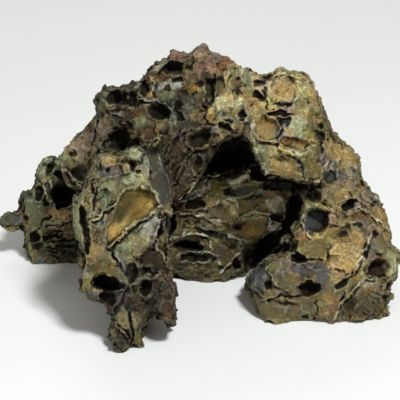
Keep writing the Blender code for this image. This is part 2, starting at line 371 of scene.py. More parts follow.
CROWN_MARKS = (
    Mark("left crater low pit", 118, 109, 3.6, 3, BLACK, 9),
    Mark("left rim", 104, 107, 6, 9, PALE_GREEN, -1, tint=0.7),
    Mark("crater slope", 152, 94, 5, 5, TAN, 2, roll=40, calm=0.4),
    Mark("crest yellow", 206, 58, 9, 3, BROWN),
    Mark("crest pink plates", 205, 66, 9, 5, PINK, 1, calm=0.3),
    Mark("rust spike", 226, 59, 5, 4, RUST),
    Mark("crest shade", 194, 61, 5, 4, DRAB, 1),
    Mark("crest pocket", 189, 68, 5, 4, DARK_BROWN, 5),
    Mark("mauve rough", 192, 76, 8, 6, BROWN, tint=0.6),
    Mark("mauve dark plate", 205, 78, 7, 6, UMBER, 3, calm=0.6),
    Mark("dark under plate", 199, 84, 8, 2.4, BLACK, 7, roll=-6),
    Mark("red stripes", 166, 77, 9, 3.6, RUST, 2, roll=-12, tint=0.6),
    Mark("ochre rough", 153, 80, 8, 6, OCHRE, tint=0.5),
    Mark("ochre rough right", 193, 88, 10, 4, OCHRE, tint=0.6),
    Mark("small dark pit", 185, 92, 4, 2.8, BLACK, 7),
    Mark("green plate", 166, 96, 10, 5, GREY_GREEN, roll=-6, calm=0.3),
    Mark("red rough", 203, 105, 7, 7, BROWN, 1),
    Mark("tan chip", 195, 114, 6, 5, TAN, 1, calm=0.7, tint=0.6),
    Mark("tan column", 210, 114, 5, 8, TAN, -1, calm=0.5),
    Mark("speckled knob", 141, 121, 8, 7, GREY_GREEN, -2),
    Mark("rust under crater", 152, 118, 5, 3, RUST, tint=0.6),
    Mark("olive under crater", 160, 124, 9, 4, OLIVE, 1),
    Mark("maroon slot", 126, 126, 8, 3.4, MAROON, 10, roll=-6),
    Mark("hollow green side", 109, 146, 5, 7, DARK_GREEN, 4, calm=0.8),
    Mark("rust corner", 157, 130, 3, 2.6, RUST),
    Mark("brow of crown", 135, 112, 8, 5, BROWN, -1),
    Mark("purple seam", 166, 126, 8, 5, PURPLE, tint=0.4),
    Mark("scoop shade right", 205, 136, 6, 5, BLACK, 4),
    Mark("striped face", 180, 160, 14, 26, DARK_BROWN, roll=-16, tint=0.4),
    Mark("olive rib", 192, 150, 10, 3, BROWN, roll=10, tint=0.7),
    Mark("foot ribs", 178, 190, 7, 10, DARK_BROWN, roll=-30),
    Mark("seam shade", 214, 142, 4, 4, DARK_OLIVE),
)

BROW_MARKS = (
    Mark("left lobe", 243, 74, 14, 8, PALE_GREEN, tint=0.6),
    Mark("olive streak", 231, 77, 2, 6, DARK_OLIVE, 4, roll=-24),
    Mark("pink streak", 238, 80, 4, 7, PINK, tint=0.5),
    Mark("olive stripe pit", 239, 79, 2.4, 2, DARK_OLIVE, 3),
    Mark("ledge shadow", 260, 81, 8, 1.8, DARK_OLIVE, 4),
    Mark("green knuckle", 250, 87, 4, 6, GREY_GREEN, -1),
    Mark("purple pit", 261, 99, 5, 3.4, PURPLE, 5),
    Mark("peach edge", 234, 98, 8, 3.4, PEACH, roll=20),
    Mark("orange scoops", 252, 103, 7, 5, PEACH, 2, roll=-40),
    Mark("grey crumbs", 221, 114, 6, 4, SLATE, 1, tint=0.6),
    Mark("purple stain", 233, 121, 7, 4, UMBER, tint=0.6),
    Mark("tan scoop left", 243, 127, 9, 6, TAN, 5, calm=0.5),
    Mark("dark lip of cave", 228, 131, 7, 4, DARK_OLIVE, 2),
    Mark("cup rim left", 271, 84, 2.4, 7, SLATE, 1, tint=0.6),
    Mark("cup rim right", 302, 84, 3, 4, PURPLE, 1, tint=0.7),
    Mark("corner pale", 306, 88, 5, 8, PALE_GREEN, roll=-30, tint=0.6),
    Mark("olive scoop", 302, 105, 8, 6, OLIVE, 4, calm=0.6),
    Mark("grey lines", 282, 105, 12, 2, SLATE, 2, tint=0.5),
    Mark("tan scoop ochre", 266, 122, 9, 5, OCHRE, roll=-12, tint=0.5),
    Mark("olive cheek", 307, 132, 6, 7, OLIVE, 2, calm=0.6),
    Mark("orange scoop rust", 294, 140, 12, 3.6, RUST, roll=-6, tint=0.7),
    Mark("rust spots", 305, 144, 3.4, 3.4, RUST),
    Mark("wrinkles", 264, 143, 6, 3, OLIVE, 2, tint=0.5),
    Mark("face hollow", 279, 157, 8, 4, OLIVE, 3, roll=-20, calm=0.5),
    Mark("mauve spot", 298, 161, 4, 4, PURPLE, 2, tint=0.6),
    Mark("black corner", 319, 127, 3, 3.6, BLACK, 7),
    Mark("edge shade", 314, 122, 6, 16, DARK_OLIVE, 1, roll=8, tint=0.8),
    Mark("dark edge", 327, 122, 6, 13, DARK_OLIVE, 1),
    Mark("dark cheek", 319, 152, 5, 10, DARK_OLIVE, 3),
)

LEDGE_MARKS = (
    Mark("oval shade", 222, 178, 7, 4, DARK_OLIVE, 2, calm=0.5),
    Mark("pale ledge end", 203, 186, 6, 10, FROST, -1, roll=-40),
    Mark("pale ledge", 190, 195, 13, 4, FROST, -1, roll=30, tint=0.6),
    Mark("tan tongue", 214, 202, 9, 4, TAN, -1, roll=30, calm=0.6),
    Mark("brown block", 224, 209, 8, 6, BROWN, 1, calm=0.4, tint=0.6),
    Mark("cream edge", 216, 222, 8, 4, CREAM, -1, roll=-20, tint=0.7),
    Mark("olive band", 190, 217, 12, 3, DARK_OLIVE, 1),
    Mark("mauve pit", 191, 223, 9, 4, MAUVE, 4, tint=0.7),
    Mark("dark top", 252, 197, 13, 3, GREY_GREEN, 3, roll=8, tint=0.6),
    Mark("ledge recess", 216, 235, 9, 3.4, BLACK, 6, roll=-16),
    # painted shadow under the brow's overhang
    Mark("dark roof", 275, 186, 22, 5, CHARCOAL, 2),
    Mark("brown corner", 284, 193, 9, 4, DARK_BROWN, 2),
    Mark("brown side", 298, 190, 6, 8, DARK_BROWN, 2),
    Mark("green rim right", 275, 229, 9, 6, FROST, -1, roll=24, tint=0.8),
    Mark("scoop mauve", 238, 226, 9, 3.4, MAROON, 2, roll=16, tint=0.8),
    Mark("scoop ochre", 248, 234, 12, 3.6, OCHRE, roll=16, tint=0.5),
    Mark("scoop head", 253, 217, 14, 4, CREAM, roll=8, tint=0.6),
    Mark("black pit high", 227, 227, 2.6, 4, BLACK, 8),
    Mark("black pit left", 209, 233, 3.4, 4, BLACK, 8, roll=20),
    Mark("black pit small", 223, 236, 3, 2, BLACK, 6),
    Mark("long cave floor", 177, 248, 9, 3.4, BROWN, 3, roll=-8),
    Mark("olive nose", 209, 244, 5, 9, DARK_OLIVE, -2, calm=0.4),
    Mark("mauve face", 226, 245, 11, 6, UMBER, 1, calm=0.7, tint=0.6),
    Mark("low tan", 193, 267, 13, 3, DRAB, -1, tint=0.5),
    Mark("low tan right", 218, 262, 6, 8, DRAB, roll=-40, tint=0.4),
    Mark("maroon wall", 248, 258, 7, 9, MAROON, 3),
    Mark("dark foot", 232, 276, 14, 5, DARK_OLIVE),
    Mark("dark foot left", 175, 262, 7, 9, DARK_OLIVE),
    Mark("left shade", 178, 232, 13, 17, BLACK, tint=0.3),
)

LEG_MARKS = (
    Mark("head pit", 342, 148, 2, 1.6, BROWN, 3),
    Mark("head edge", 356, 161, 3, 5, BROWN, tint=0.5),
    Mark("twin pit left", 351, 168, 3, 2.2, BLACK, 6),
    Mark("twin pit right", 355.5, 171, 3, 2.6, BLACK, 6),
    Mark("grey shelf", 357, 174, 7, 3, GREY_GREEN),
    Mark("mauve neck", 325, 158, 4, 8, MAUVE, 1),
    Mark("grey knuckle", 333, 165, 5, 6, PALE_GREY, -1),
    Mark("purple rubble", 342, 178, 6, 7, PURPLE, 1, tint=0.7),
    Mark("ledge yellow", 341, 193, 7, 4, GOLD, tint=0.5),
    Mark("grey under eye", 346, 212, 5, 3.4, DARK_OLIVE, 1),
    Mark("grey nub", 375, 199, 5, 4, PALE_GREY),
    Mark("nub shade", 373, 204, 4, 1.8, MAROON, 5),
    Mark("rust streaks", 336, 218, 9, 9, BROWN, tint=0.45),
    Mark("body shade", 336, 228, 24, 9, DARK_BROWN, tint=0.4),
    Mark("rust stripe", 334, 226, 6, 1.6, RUST, 3),
    Mark("dark pit", 348, 226, 4, 2.6, MAROON, 6),
    Mark("olive plate", 362, 213, 10, 8, BROWN, 1, calm=0.5, tint=0.7),
    Mark("grey dent", 358, 225, 5, 3.6, SLATE, 4, calm=0.5),
    Mark("right olive", 380, 216, 7, 10, TAN, 1, tint=0.6),
    Mark("right tan", 384, 226, 6, 5, TAN, tint=0.6),
    Mark("right dark pit", 375, 234, 5, 4, MAROON, 8, roll=-20),
    Mark("right rust", 387, 236, 5, 5, OCHRE, tint=0.6),
    Mark("black brow pit", 342, 234, 8, 2.8, MAROON, 8, roll=18),
    Mark("olive plate tip", 300, 246, 6, 7, OLIVE, calm=0.8),
    Mark("peach plate top", 357, 238, 9, 6, TAN, tint=0.5),
    Mark("orange stain", 338, 254, 8, 7, OCHRE, tint=0.4),
    Mark("peach crease", 340, 270, 7, 1.8, BROWN, 3, roll=-14),
    Mark("peach foot", 335, 276, 7, 5, PEACH, tint=0.7),
    Mark("pale edge", 363, 266, 3, 10, PALE_GREEN, -1, tint=0.4),
    Mark("cave mouth right", 374, 267, 11, 8, BROWN, 2),
    Mark("cave head", 375, 256, 7, 4, MAUVE, 1),
    Mark("cave head pit", 366, 254, 2.6, 4, CHARCOAL, 5),
    Mark("rust corner", 386, 276, 5, 6, RUST, tint=0.5),
    Mark("mauve ledge", 277, 256, 9, 5, BROWN, roll=14, tint=0.7),
    Mark("cream seam", 277, 266, 8, 4, TAN, tint=0.6),
    Mark("olive middle", 285, 285, 11, 13, DRAB, tint=0.7),
    Mark("grey streak", 276, 278, 2, 8, PALE_GREY, tint=0.6),
    Mark("maroon rim", 299, 288, 4, 5, MAROON, 3, tint=0.6),
    Mark("green mottle", 356, 284, 10, 5, GREY_GREEN, tint=0.7),
    Mark("rust patch", 328, 297, 6, 6, OCHRE, 1, tint=0.7),
    Mark("cream patch", 367, 284, 12, 4, PALE_GREY, -1, tint=0.6),
    Mark("tan left", 267, 294, 7, 6, TAN, tint=0.5),
    Mark("olive foot arc", 285, 303, 12, 3, DARK_OLIVE, 2, roll=-8, tint=0.6),
    Mark("foot pit", 305, 317, 4, 2.4, BLACK, 5),
    Mark("pink strip", 334, 311, 4, 13, PINK, tint=0.6),
    Mark("tan strip", 325, 314, 5, 8, TAN, tint=0.5),
    Mark("dark fold", 349, 306, 7, 13, UMBER, 5, roll=-8),
    Mark("grey strip", 357, 310, 2.4, 10, GREY_GREEN),
    Mark("brown foot right", 368, 306, 17, 15, UMBER, tint=0.6),
)

CREASES = (
    Crease("strut", "62,169 69,173 75,181 81,188", 2.6, 6, RIDGE_HIGHLIGHT),
    Crease("upright plate", "50,181 53,190 52,200", 2.4, 3, RIDGE_HIGHLIGHT),
    Crease("second plate", "42,172 43,182 47,196", 2.2, 3, RIDGE_HIGHLIGHT),
    Crease("low crack", "50,216 44,220 39,227", 2.2, -5, BLACK),
    Crease("flank crack", "98,119 97,132 94,143 98,150", 1.8, -4, MAROON),
    Crease("flank rib", "92,155 97,148 101,142", 2, 2, PALE_GREY),
    Crease("slab edge", "97,178 96,196 93,212", 2, -3, BROWN),
    Crease("scoop rim", "159,206 149,215 137,221 127,230 119,239 109,247", 2.6, 3.5, CREAM, 0.9),
    Crease("scoop back", "150,188 141,187 128,188 119,194 115,204 104,212 93,220", 2.4, 2.5, CREAM, 0.7),
    Crease("scoop side", "151,188 157,196 161,205", 2.4, 2, CREAM, 0.7),
    Crease("rim crack", "118,242 112,247 113,256", 1.8, -4, CHARCOAL),
    Crease("blade edge", "158,156 167,176 171,196 170,212", 1.8, 1, PALE_GREY, 0.5),
    Crease("right seam", "157,247 163,256 166,267", 1.8, 2.5, RIDGE_HIGHLIGHT),
    Crease("side shade", "163,216 160,232 152,248", 3, -6, BLACK),
    Crease("side rib", "165,216 163,232 161,244", 2, 2, TAN, 0.7),
    Crease("foot groove", "129,311 130,325 134,336 133,345", 1.8, -4, DARK_BROWN),
    Crease("heel groove", "118,327 126,333 132,342", 2, -3, DARK_BROWN),
    Crease("crater rim", "139,99 148,101 156,100 163,104 172,111 175,124", 2.4, 2.5, PALE_GREY, 0.9),
    Crease("left crater rim", "104,106 101,97 106,90 116,87 127,91", 3.4, 3, GREY_GREEN),
    Crease("left crater foot", "106,107 114,109 124,106 129,98", 2.8, 2.5, BROWN),
    Crease("upper crater rim", "137,88 141,80 148,76 155,83 154,93", 3, 3, PALE_GREY, 0.7),
    Crease("crest crater rim", "157,74 163,64 174,58 185,62 183,72 174,78", 3.2, 2.5, GREY_GREEN),
    Crease("crest crater foot", "160,76 170,79 181,76", 2.4, 2, BROWN, 0.7),
    Crease("hollow rim", "107,136 113,127 124,126 132,133 133,144", 3, 2.5, BROWN, 0.7),
    Crease("dark scoop lip", "184,143 193,149 202,149 211,144", 2.2, 2.5, OLIVE),
    Crease("long rib", "164,150 172,139 183,131 203,127", 2.2, 2, BROWN),
    Crease("seam of masses", "205,107 204,117 209,124 218,123 232,121", 2, -4, BLACK),
    Crease("brow seam", "213,76 212,88 213,98", 2.2, -5, DARK_BROWN),
    Crease("cup ring", "271,96 269,84 276,75 288,74 299,80 301,92", 2.6, 1, CREAM),
    Crease("cup foot", "271,98 280,102 292,101 300,95", 2, 1, CREAM, 0.6),
    Crease("orange lip", "276,147 284,151 297,155 311,151", 2.4, 3, CREAM, 0.9),
    Crease("scoop foot", "257,138 266,142 275,141", 1.8, 2, CREAM, 0.6),
    Crease("brow hem", "268,176 285,177 303,181 318,182", 2.4, 2, PALE_GREEN, 0.6),
    Crease("neck line", "322,142 325,150 322,157", 1.8, 2, PALE_GREY, 0.7),
    Crease("ledge rim", "205,181 209,174 224,173 238,169 250,170 249,177", 1.8, 3, RIDGE_HIGHLIGHT, 1),
    Crease("upper rim", "238,168 248,165 256,164", 1.6, 2, RIDGE_HIGHLIGHT),
    Crease("black seam", "174,201 184,192 190,184 197,178", 1.8, -4, BLACK, 0.6),
    Crease("pale line", "176,212 190,214 205,215 214,220 224,221", 1.8, 2.5, RIDGE_HIGHLIGHT, 0.9),
    Crease("diagonal rim", "180,201 193,197 203,193 212,186", 1.8, 2, RIDGE_HIGHLIGHT, 0.7),
    Crease("tongue rim", "204,208 213,206 221,199", 1.8, 2, RIDGE_HIGHLIGHT),
    Crease("tan brim", "228,198 236,201 239,209 238,217", 1.8, 2, RIDGE_HIGHLIGHT),
    Crease("scoop brim", "239,219 245,214 258,212 267,213 269,222", 1.8, 2.5, RIDGE_HIGHLIGHT),
    Crease("right brim", "268,234 277,228 284,219 290,211 290,200", 2, 2.5, RIDGE_HIGHLIGHT),
    Crease("nose brim", "204,235 212,242 211,251 203,255", 1.8, 2, RIDGE_HIGHLIGHT),
    Crease("face brim", "227,235 238,240 243,249 235,258 226,267 219,274", 1.8, 2, RIDGE_HIGHLIGHT, 0.7),
    Crease("shelf end", "268,212 272,218 269,227 265,234", 1.8, 2, RIDGE_HIGHLIGHT, 0.7),
    Crease("cave brow", "168,238 182,235 196,234 206,236", 1.8, 2.5, RIDGE_HIGHLIGHT, 0.7),
    Crease("pit brow", "180,256 190,252 206,252 218,257 219,265", 1.8, 2, RIDGE_HIGHLIGHT, 0.6),
    Crease("middle brim", "183,224 198,226 210,230 222,229", 1.8, 2, GREY_GREEN),
    Crease("foot rib", "207,145 194,150 183,164 174,184", 2.2, 2.5, BROWN),
    Crease("foot rib low", "202,176 190,184 178,197", 2, 2, OLIVE, 0.7),
    Crease("foot rib left", "176,134 170,146 166,160", 2, 2, BROWN, 0.7),
    Crease("lobe seam", "266,76 264,88 266,100 268,108", 2, -3, DARK_BROWN, 0.7),
    Crease("scoop wall", "278,120 283,129 277,138 276,147", 1.8, -3, CHARCOAL, 0.7),
    Crease("brow edge", "251,126 250,137 258,157 266,173", 2, 2, RIDGE_HIGHLIGHT, 0.6),
    Crease("face seam", "299,160 303,170 304,180", 1.8, -2.5, DARK_OLIVE, 0.6),
    Crease("lip foot", "139,142 149,146 157,143 161,136", 2, 2, CREAM, 0.6),
    Crease("side rim", "357,206 372,215 388,229", 1.8, 2, RIDGE_HIGHLIGHT, 0.6),
    Crease("peach ridge", "371,234 366,249 358,266 349,278", 2.2, 2.5, RIDGE_HIGHLIGHT, 0.7),
    Crease("foot ridge", "365,278 353,290 340,305 334,322", 2.2, 2.5, CREAM, 0.7),
    Crease("corner lines", "271,260 267,270 274,282 287,291", 1.8, 2, PALE_GREEN, 0.6),
    Crease("corner edge", "250,272 254,288 262,297", 1.8, 2, PALE_GREY, 0.6),
    Crease("eye rim", "338,213 336,204 345,197 357,197", 1.8, 2, PEACH, 0.7),
    Crease("slab rim", "100,156 97,168 97,186 91,202 90,216", 2, 2.5, PALE_GREY, 0.7),
    Crease("plate rim", "110,247 119,258 124,268", 2, 2.5, PALE_GREY),
    Crease("prong rim", "165,274 175,290 171,308 177,320", 2, 2, PINK, 0.6),
    Crease("toe rim", "114,312 117,327 130,341 139,346", 2, 2, PALE_GREEN, 0.7),
    Crease("shaft rib", "126,270 128,284 122,297 114,308", 2, 2.5, BROWN, 0.7),
    Crease("low brim", "178,256 182,262 204,263 214,258", 1.6, 1.5, RIDGE_HIGHLIGHT, 0.6),
    Crease("pit brim", "303,213 302,222 305,231 311,236", 1.8, 2, RIDGE_HIGHLIGHT, 0.9),
    Crease("ledge brim", "321,196 322,205 334,210", 1.8, 1.5, CREAM, 0.5),
    Crease("plate foot", "296,251 307,259 322,261", 1.8, -3, DARK_OLIVE),
    Crease("peach brim", "327,246 325,258 330,270", 1.8, 1.5, CREAM, 0.5),
    Crease("cave brim", "363,276 373,278 384,277", 1.8, 2, PALE_GREEN),
    Crease("foot arc", "261,301 271,298 284,299 299,301", 1.6, 1.5, TAN, 0.6),
    Crease("red crack", "268,301 280,296 292,297 300,293", 1.6, -3, MAROON, 0.7),
    Crease("fold edge", "343,293 341,304 343,318", 1.8, -3, BLACK, 0.7),
    Crease("foot crack", "313,322 318,312 316,303", 1.6, -3, CHARCOAL, 0.6),
)

BEDDINGS = (
    Bedding("low mass layers", (65, 236), (24, 27), 2, 5.5, 3.2),
    Bedding("slab left layers", (90, 180), (9, 32), 82, 5.0, 2.0),
    Bedding("slab crust layers", (97, 228), (9, 20), 78, 4.5, 1.6),
    Bedding("scoop streaks", (150, 205), (12, 18), 80, 3.2, 0.6),
    Bedding("crown foot layers", (182, 162), (24, 36), 52, 6.5, 2.6),
    Bedding("ledges low", (195, 270), (34, 8), -4, 5.0, 1.6),
    Bedding("olive plate lines", (314, 250), (17, 10), 12, 3.6, 0.7),
    Bedding("right foot layers", (372, 304), (15, 15), -16, 5.0, 2.2),
    Bedding("right side layers", (366, 190), (16, 20), -30, 5.0, 1.6),
    Bedding("prong layers", (166, 300), (12, 22), 70, 4.0, 1.2),
)

MARKS = (
    LOW_MASS_MARKS + FLANK_MARKS + SLAB_MARKS + PAINTED_LIGHT_AND_SHADE + CROWN_MARKS + BROW_MARKS + LEDGE_MARKS
    + LEG_MARKS
)


MASSES = (
    Patch("low mass", GREY_GREEN, "22,213 20,200 33,187 40,168 62,158 86,160 82,188 72,205 73,225 80,250 "
          "82,262 31,263 22,235", calm=0.75, tint=0.55),
    Patch("left flank", DUSTY, "60,157 66,147 84,128 98,112 104,122 103,150 88,159", calm=0.8),
    Patch("crown", DARK_BROWN, "96,100 107,88 138,79 153,66 190,70 226,70 216,98 212,124 215,142 208,170 "
          "192,184 175,202 170,190 160,158 148,148 104,153 98,113", calm=0.72),
    Patch("crest", MAUVE, "152,68 176,47 202,44 230,55 226,70 206,82 184,78 164,80"),
    Patch("crown foot", UMBER, "170,132 205,128 214,142 208,168 192,184 175,202 168,185 162,155",
          calm=0.85),
    Patch("slab", ASH, "84,155 120,152 150,150 152,185 160,208 152,245 128,262 122,280 90,302 78,290 84,255 "
          "72,215 84,188", calm=0.82),
    Patch("shaft", UMBER, "112,282 166,268 178,300 178,328 150,316 140,345 108,330", calm=0.78),
    Patch("slab foot", UMBER, "107,316 146,314 140,345 122,354 107,338", calm=0.78),
    Patch("ledges", OLIVE, "172,205 200,176 210,172 252,166 268,178 300,182 298,215 262,248 250,276 200,285 "
          "170,274 166,235", calm=0.88),
    Patch("brow", TAN, "224,68 240,65 267,78 283,67 303,72 318,92 322,120 325,160 322,180 300,181 268,178 "
          "256,160 245,136 215,122 216,98", calm=0.8),
    Patch("brow side", DARK_OLIVE, "318,100 334,118 336,136 326,150 318,140 320,118", calm=0.6),
    Patch("right side", TAN, "326,138 348,145 362,164 372,190 392,225 398,262 386,292 350,294 322,300 "
          "310,280 300,250 300,205 320,184", calm=0.8),
    Patch("ledges low", DARK_OLIVE, "166,238 204,250 232,240 262,248 250,276 200,285 170,274", calm=0.88),
    Patch("right rim", DRAB, "350,172 364,168 374,190 394,225 399,262 386,288 368,286 366,250 352,215",
          calm=0.6),
    Patch("right foot", DRAB, "250,268 266,256 300,252 326,262 330,284 386,286 384,314 344,326 274,326 "
          "254,310", calm=0.84),
)

LEFT_PATCHES = (
    Patch("olive pit", DARK_OLIVE, "45,172 50,163 55,163 54,171 48,177", 8, 4),
    Patch("upper hollow", BLACK, "53,176 58,170 66,171 73,178 80,185 66,184", 13),
    Patch("great hollow", BLACK, "54,187 66,185 80,187 82,191 75,199 70,207 57,207 52,199", 24),
    Patch("right pocket", DARK_BROWN, "71,167 82,164 86,171 83,179 77,181 72,175", 9, 5),
    Patch("upright slit", CHARCOAL, "35,187 41,181 43,190 41,199 36,200", 12),
    Patch("short slit", DARK_SLATE, "42,197 46,193 48,203 44,209", 8, 2),
    Patch("pale plate", GREY_GREEN, "22,204 32,190 35,200 42,207 46,214 40,226 30,228 24,216", calm=0.9),
    Patch("lower pit", BLACK, "29,233 36,229 41,234 39,241 31,241", 11),
    Patch("long pit", BLACK, "42,235 57,234 58,239 44,241", 8, 2),
    Patch("flange", PALE_GREEN, "85,186 79,196 73,205 71,215 74,232 80,250 84,263 87,258 83,236 79,216 "
          "82,204 88,196", -2, 4, calm=0.9),
    Patch("flange slit", DARK_SLATE, "82,204 86,212 89,226 90,242 87,257 84,250 83,236 80,220",
          12, calm=0.4),
    Patch("head plate", TAN, "101,157 112,154 119,156 122,162 112,166 102,163", 3, 4),
    Patch("purple band", PURPLE, "97,165 110,166 121,165 125,173 114,177 98,177",
          3, 4, calm=0.3, tint=0.55),
    Patch("pale knob", PALE_GREEN, "127,151 136,147 143,151 142,160 134,161 127,158", -3, 4),
    Patch("brown hole", RUST, "127,164 131,160 136,163 135,171 129,171", 9),
    Patch("speckled patch", GREY_GREEN, "141,158 148,152 151,165 151,186 146,184 143,170"),
    Patch("dark blade", DARK_SLATE, "145,149 158,150 164,163 169,177 172,194 171,212 166,215 160,206 154,195 "
          "150,186 151,172 147,158", 2, calm=1, tint=0.8),
    Patch("mottled plate", GREY_GREEN, "97,179 112,178 121,183 118,193 112,204 104,210 97,203",
          2, 4, calm=0.3),
    Patch("cream crust", PALE_GREEN, "122,178 134,172 147,176 148,186 139,189 126,190", -1.5, 4),
    Patch("great scoop", GOLD, "140,186 149,187 157,196 161,206 157,211 146,216 135,222 126,231 117,240 "
          "109,246 103,239 107,227 114,216 117,205 119,195 128,189", 8, 8, calm=0.96, tint=0.95),
    Patch("blue plate", GREY_GREEN, "121,234 133,224 147,219 142,229 134,239 126,240", 2, 4, calm=0.4),
    Patch("pale plate right", PALE_GREY, "146,220 156,212 160,222 156,235 149,245 142,240 141,230",
          calm=0.4),
    Patch("cream plate low", GREY_GREEN, "111,248 120,240 128,242 135,250 134,258 127,264 119,256",
          -1.5, 4, calm=0.3),
    Patch("slate drop", SLATE, "115,256 123,261 126,268 121,273 117,266", 2, calm=0.7),
    Patch("olive lip", DARK_OLIVE, "92,262 108,259 118,267 125,275 122,281 110,276 100,274 92,277",
          -4, 5, calm=0.8, tint=0.6),
    Patch("hollow under lip", DARK_BROWN, "96,278 108,276 118,281 125,284 123,290 111,291 101,287",
          9, 4, calm=0, tint=0.9),
    Patch("maroon pocket", MAROON, "99,290 112,292 116,301 113,309 106,301 98,298", 13),
    Patch("slate flank", BLACK, "139,255 149,246 158,248 164,258 166,269 154,271 142,269",
          3, 4, calm=0.95, tint=0.9),
    Patch("purple scoop", BLACK, "126,262 134,262 139,270 137,282 129,285 124,276", 8, 5),
    Patch("black pit long", BLACK, "141,281 148,280 150,288 148,296 142,296", 18, 2.5, calm=0, tint=1),
    Patch("black pit round", BLACK, "149,274 156,270 159,273 153,277", 12, 2),
    Patch("olive plate left", DRAB, "116,314 122,308 128,312 131,331 123,331 117,322", -2, calm=0.9),
    Patch("olive plate right", DRAB, "131,311 138,312 141,322 136,331 131,326", -2, calm=0.9),
)

CROWN_PATCHES = (
    Patch("seam recess", DARK_BROWN, "204,80 214,77 215,98 211,106 205,104", 12, 4),
    Patch("left crater", DARK_GREEN, "104,97 113,91 124,91 126,98 118,104 107,103",
          17, calm=0, tint=0.95, steep=40),
    Patch("narrow crater", CHARCOAL, "128,93 134,91 135,102 131,109 128,104", 13, 2.5, steep=40),
    Patch("upper crater", DARK_SLATE, "140,86 146,79 151,84 149,92 143,98 140,94", 14, steep=40),
    Patch("great crater", CHARCOAL, "146,107 156,103 164,106 172,112 168,118 158,120 149,115",
          17, 4, calm=0.3, steep=40),
    Patch("crater wall", PALE_GREY, "163,104 172,108 176,116 175,126 171,125 169,116", calm=0.6, tint=0.5),
    Patch("crest crater", DARK_GREEN, "160,69 169,62 179,61 182,66 178,73 167,73",
          10, calm=0, tint=0.95, steep=40),
    Patch("crest slope", PALE_GREY, "150,72 160,63 171,57 176,61 166,65 158,72", calm=0.7),
    Patch("crest left cap", PINK, "167,55 175,48 184,51 187,59 176,60 168,59", calm=0.3),
    Patch("crest middle cap", MAUVE, "189,56 196,49 202,45 208,50 217,54 218,61 198,60", calm=0.2),
    Patch("crest plates", PINK, "198,63 214,60 216,66 208,71 198,70", 2, calm=0.4),
    Patch("rust pocket", RUST, "215,63 223,60 230,56 228,64 225,71 217,73", 3, 4),
    Patch("pale plate", PALE_GREY, "159,85 171,80 181,82 181,88 168,91 159,90", -1),
    Patch("green face", DARK_GREEN, "180,97 191,91 197,98 196,111 187,118 180,111", 1, 4, calm=0.7),
    Patch("dark seam", BLACK, "173,104 178,101 181,112 186,120 178,121 175,112", 9, 2.5),
    Patch("brown column", DARK_BROWN, "206,79 212,79 214,95 209,99 205,90", 12),
    Patch("green scoop", DARK_GREEN, "214,80 222,75 227,84 225,96 217,98 213,90", 8, 5, calm=0.7),
    Patch("deep hollow", DARK_GREEN, "109,133 118,128 126,131 130,139 127,149 119,152 110,147",
          14, calm=0, tint=0.95, steep=40),
    Patch("hollow side", DARK_GREEN, "100,143 111,138 114,150 104,154", 5, 4, calm=0.7),
    Patch("under lip", BLACK, "128,142 139,139 145,144 134,149 128,150", 14, 2.5),
    Patch("tan lip", BROWN, "131,134 141,129 157,129 161,136 154,144 145,145 137,140", -6, 5),
    Patch("tan lip scoop", BROWN, "141,132 150,130 158,134 153,140 144,139", 8, 4, calm=0.6),
    Patch("dark scoop", DARK_BROWN, "185,136 196,131 208,129 212,134 210,142 201,148 190,146", 12, 6),
    Patch("side scoop", BLACK, "192,159 199,154 204,162 202,175 195,176 192,168", 12, 4),
    Patch("cave", BLACK, "208,164 211,152 216,142 224,139 234,135 243,133 249,140 254,150 260,161 268,175 "
          "262,180 250,179 251,168 240,168 225,171 208,173", 34, 4, calm=0, tint=1),
    # painted shadow cast by the brow's overhang onto the ledges
    Patch("roof", CHARCOAL, "262,178 285,178 305,182 320,185 317,198 300,200 290,191 262,190",
          4, 4, calm=0, tint=0.8),
)

BROW_PATCHES = (
    Patch("slate streak", DARK_SLATE, "243,68 249,69 251,80 246,85 243,78", 2),
    Patch("cream plate", CREAM, "215,99 226,97 236,92 243,97 240,105 232,111 223,113 215,109",
          -2, 4, calm=0.4),
    Patch("brown pit", MAROON, "236,112 243,109 247,115 241,120 236,117", 10, 2.5),
    Patch("black pit", BLACK, "250,93 258,90 263,95 256,99 251,97", 9, 2.5),
    Patch("brown ledge", BROWN, "253,80 266,79 267,84 254,87", 5),
    Patch("great cup", PEACH, "271,83 278,77 288,75 296,79 299,88 296,96 285,100 274,97 270,90",
          5.5, 8, calm=0.55, tint=0.7),
    Patch("black slot", BLACK, "266,111 278,111 295,114 288,116 268,114", 5, 1.5, calm=0, tint=1),
    Patch("purple scoop", PURPLE, "275,117 292,117 292,121 286,128 279,123", 5, calm=0.6, tint=1),
    Patch("great tan scoop", TAN, "255,121 264,116 273,118 281,125 278,133 276,142 266,142 257,137 253,129",
          8, 7, calm=0.9, tint=0.9),
    Patch("orange scoop", OCHRE, "277,141 284,136 298,138 307,140 310,147 300,150 285,147",
          6, 5, calm=0.7, tint=0.9),
    Patch("cream lip", CREAM, "276,148 290,149 300,152 313,150 313,155 298,159 283,154", -3, calm=0.4),
    Patch("pale shoulder", PALE_GREEN, "287,121 300,117 309,121 306,130 300,138 290,134", -1, 4, calm=0.2),
    Patch("slate cup", DARK_SLATE, "313,131 322,132 326,140 321,148 314,144 312,138", 8, 4, calm=0.6),
    Patch("tan face", TAN, "270,156 284,156 294,162 299,172 290,179 275,177 270,166", 4, 5, calm=0.8),
    Patch("pale left edge", PALE_GREEN, "253,142 262,145 269,156 271,171 261,165 255,155", calm=0.3),
    Patch("olive face", DARK_OLIVE, "298,162 312,158 323,165 322,179 306,179 298,172",
          1, 4, calm=0.7, tint=0.6),
)

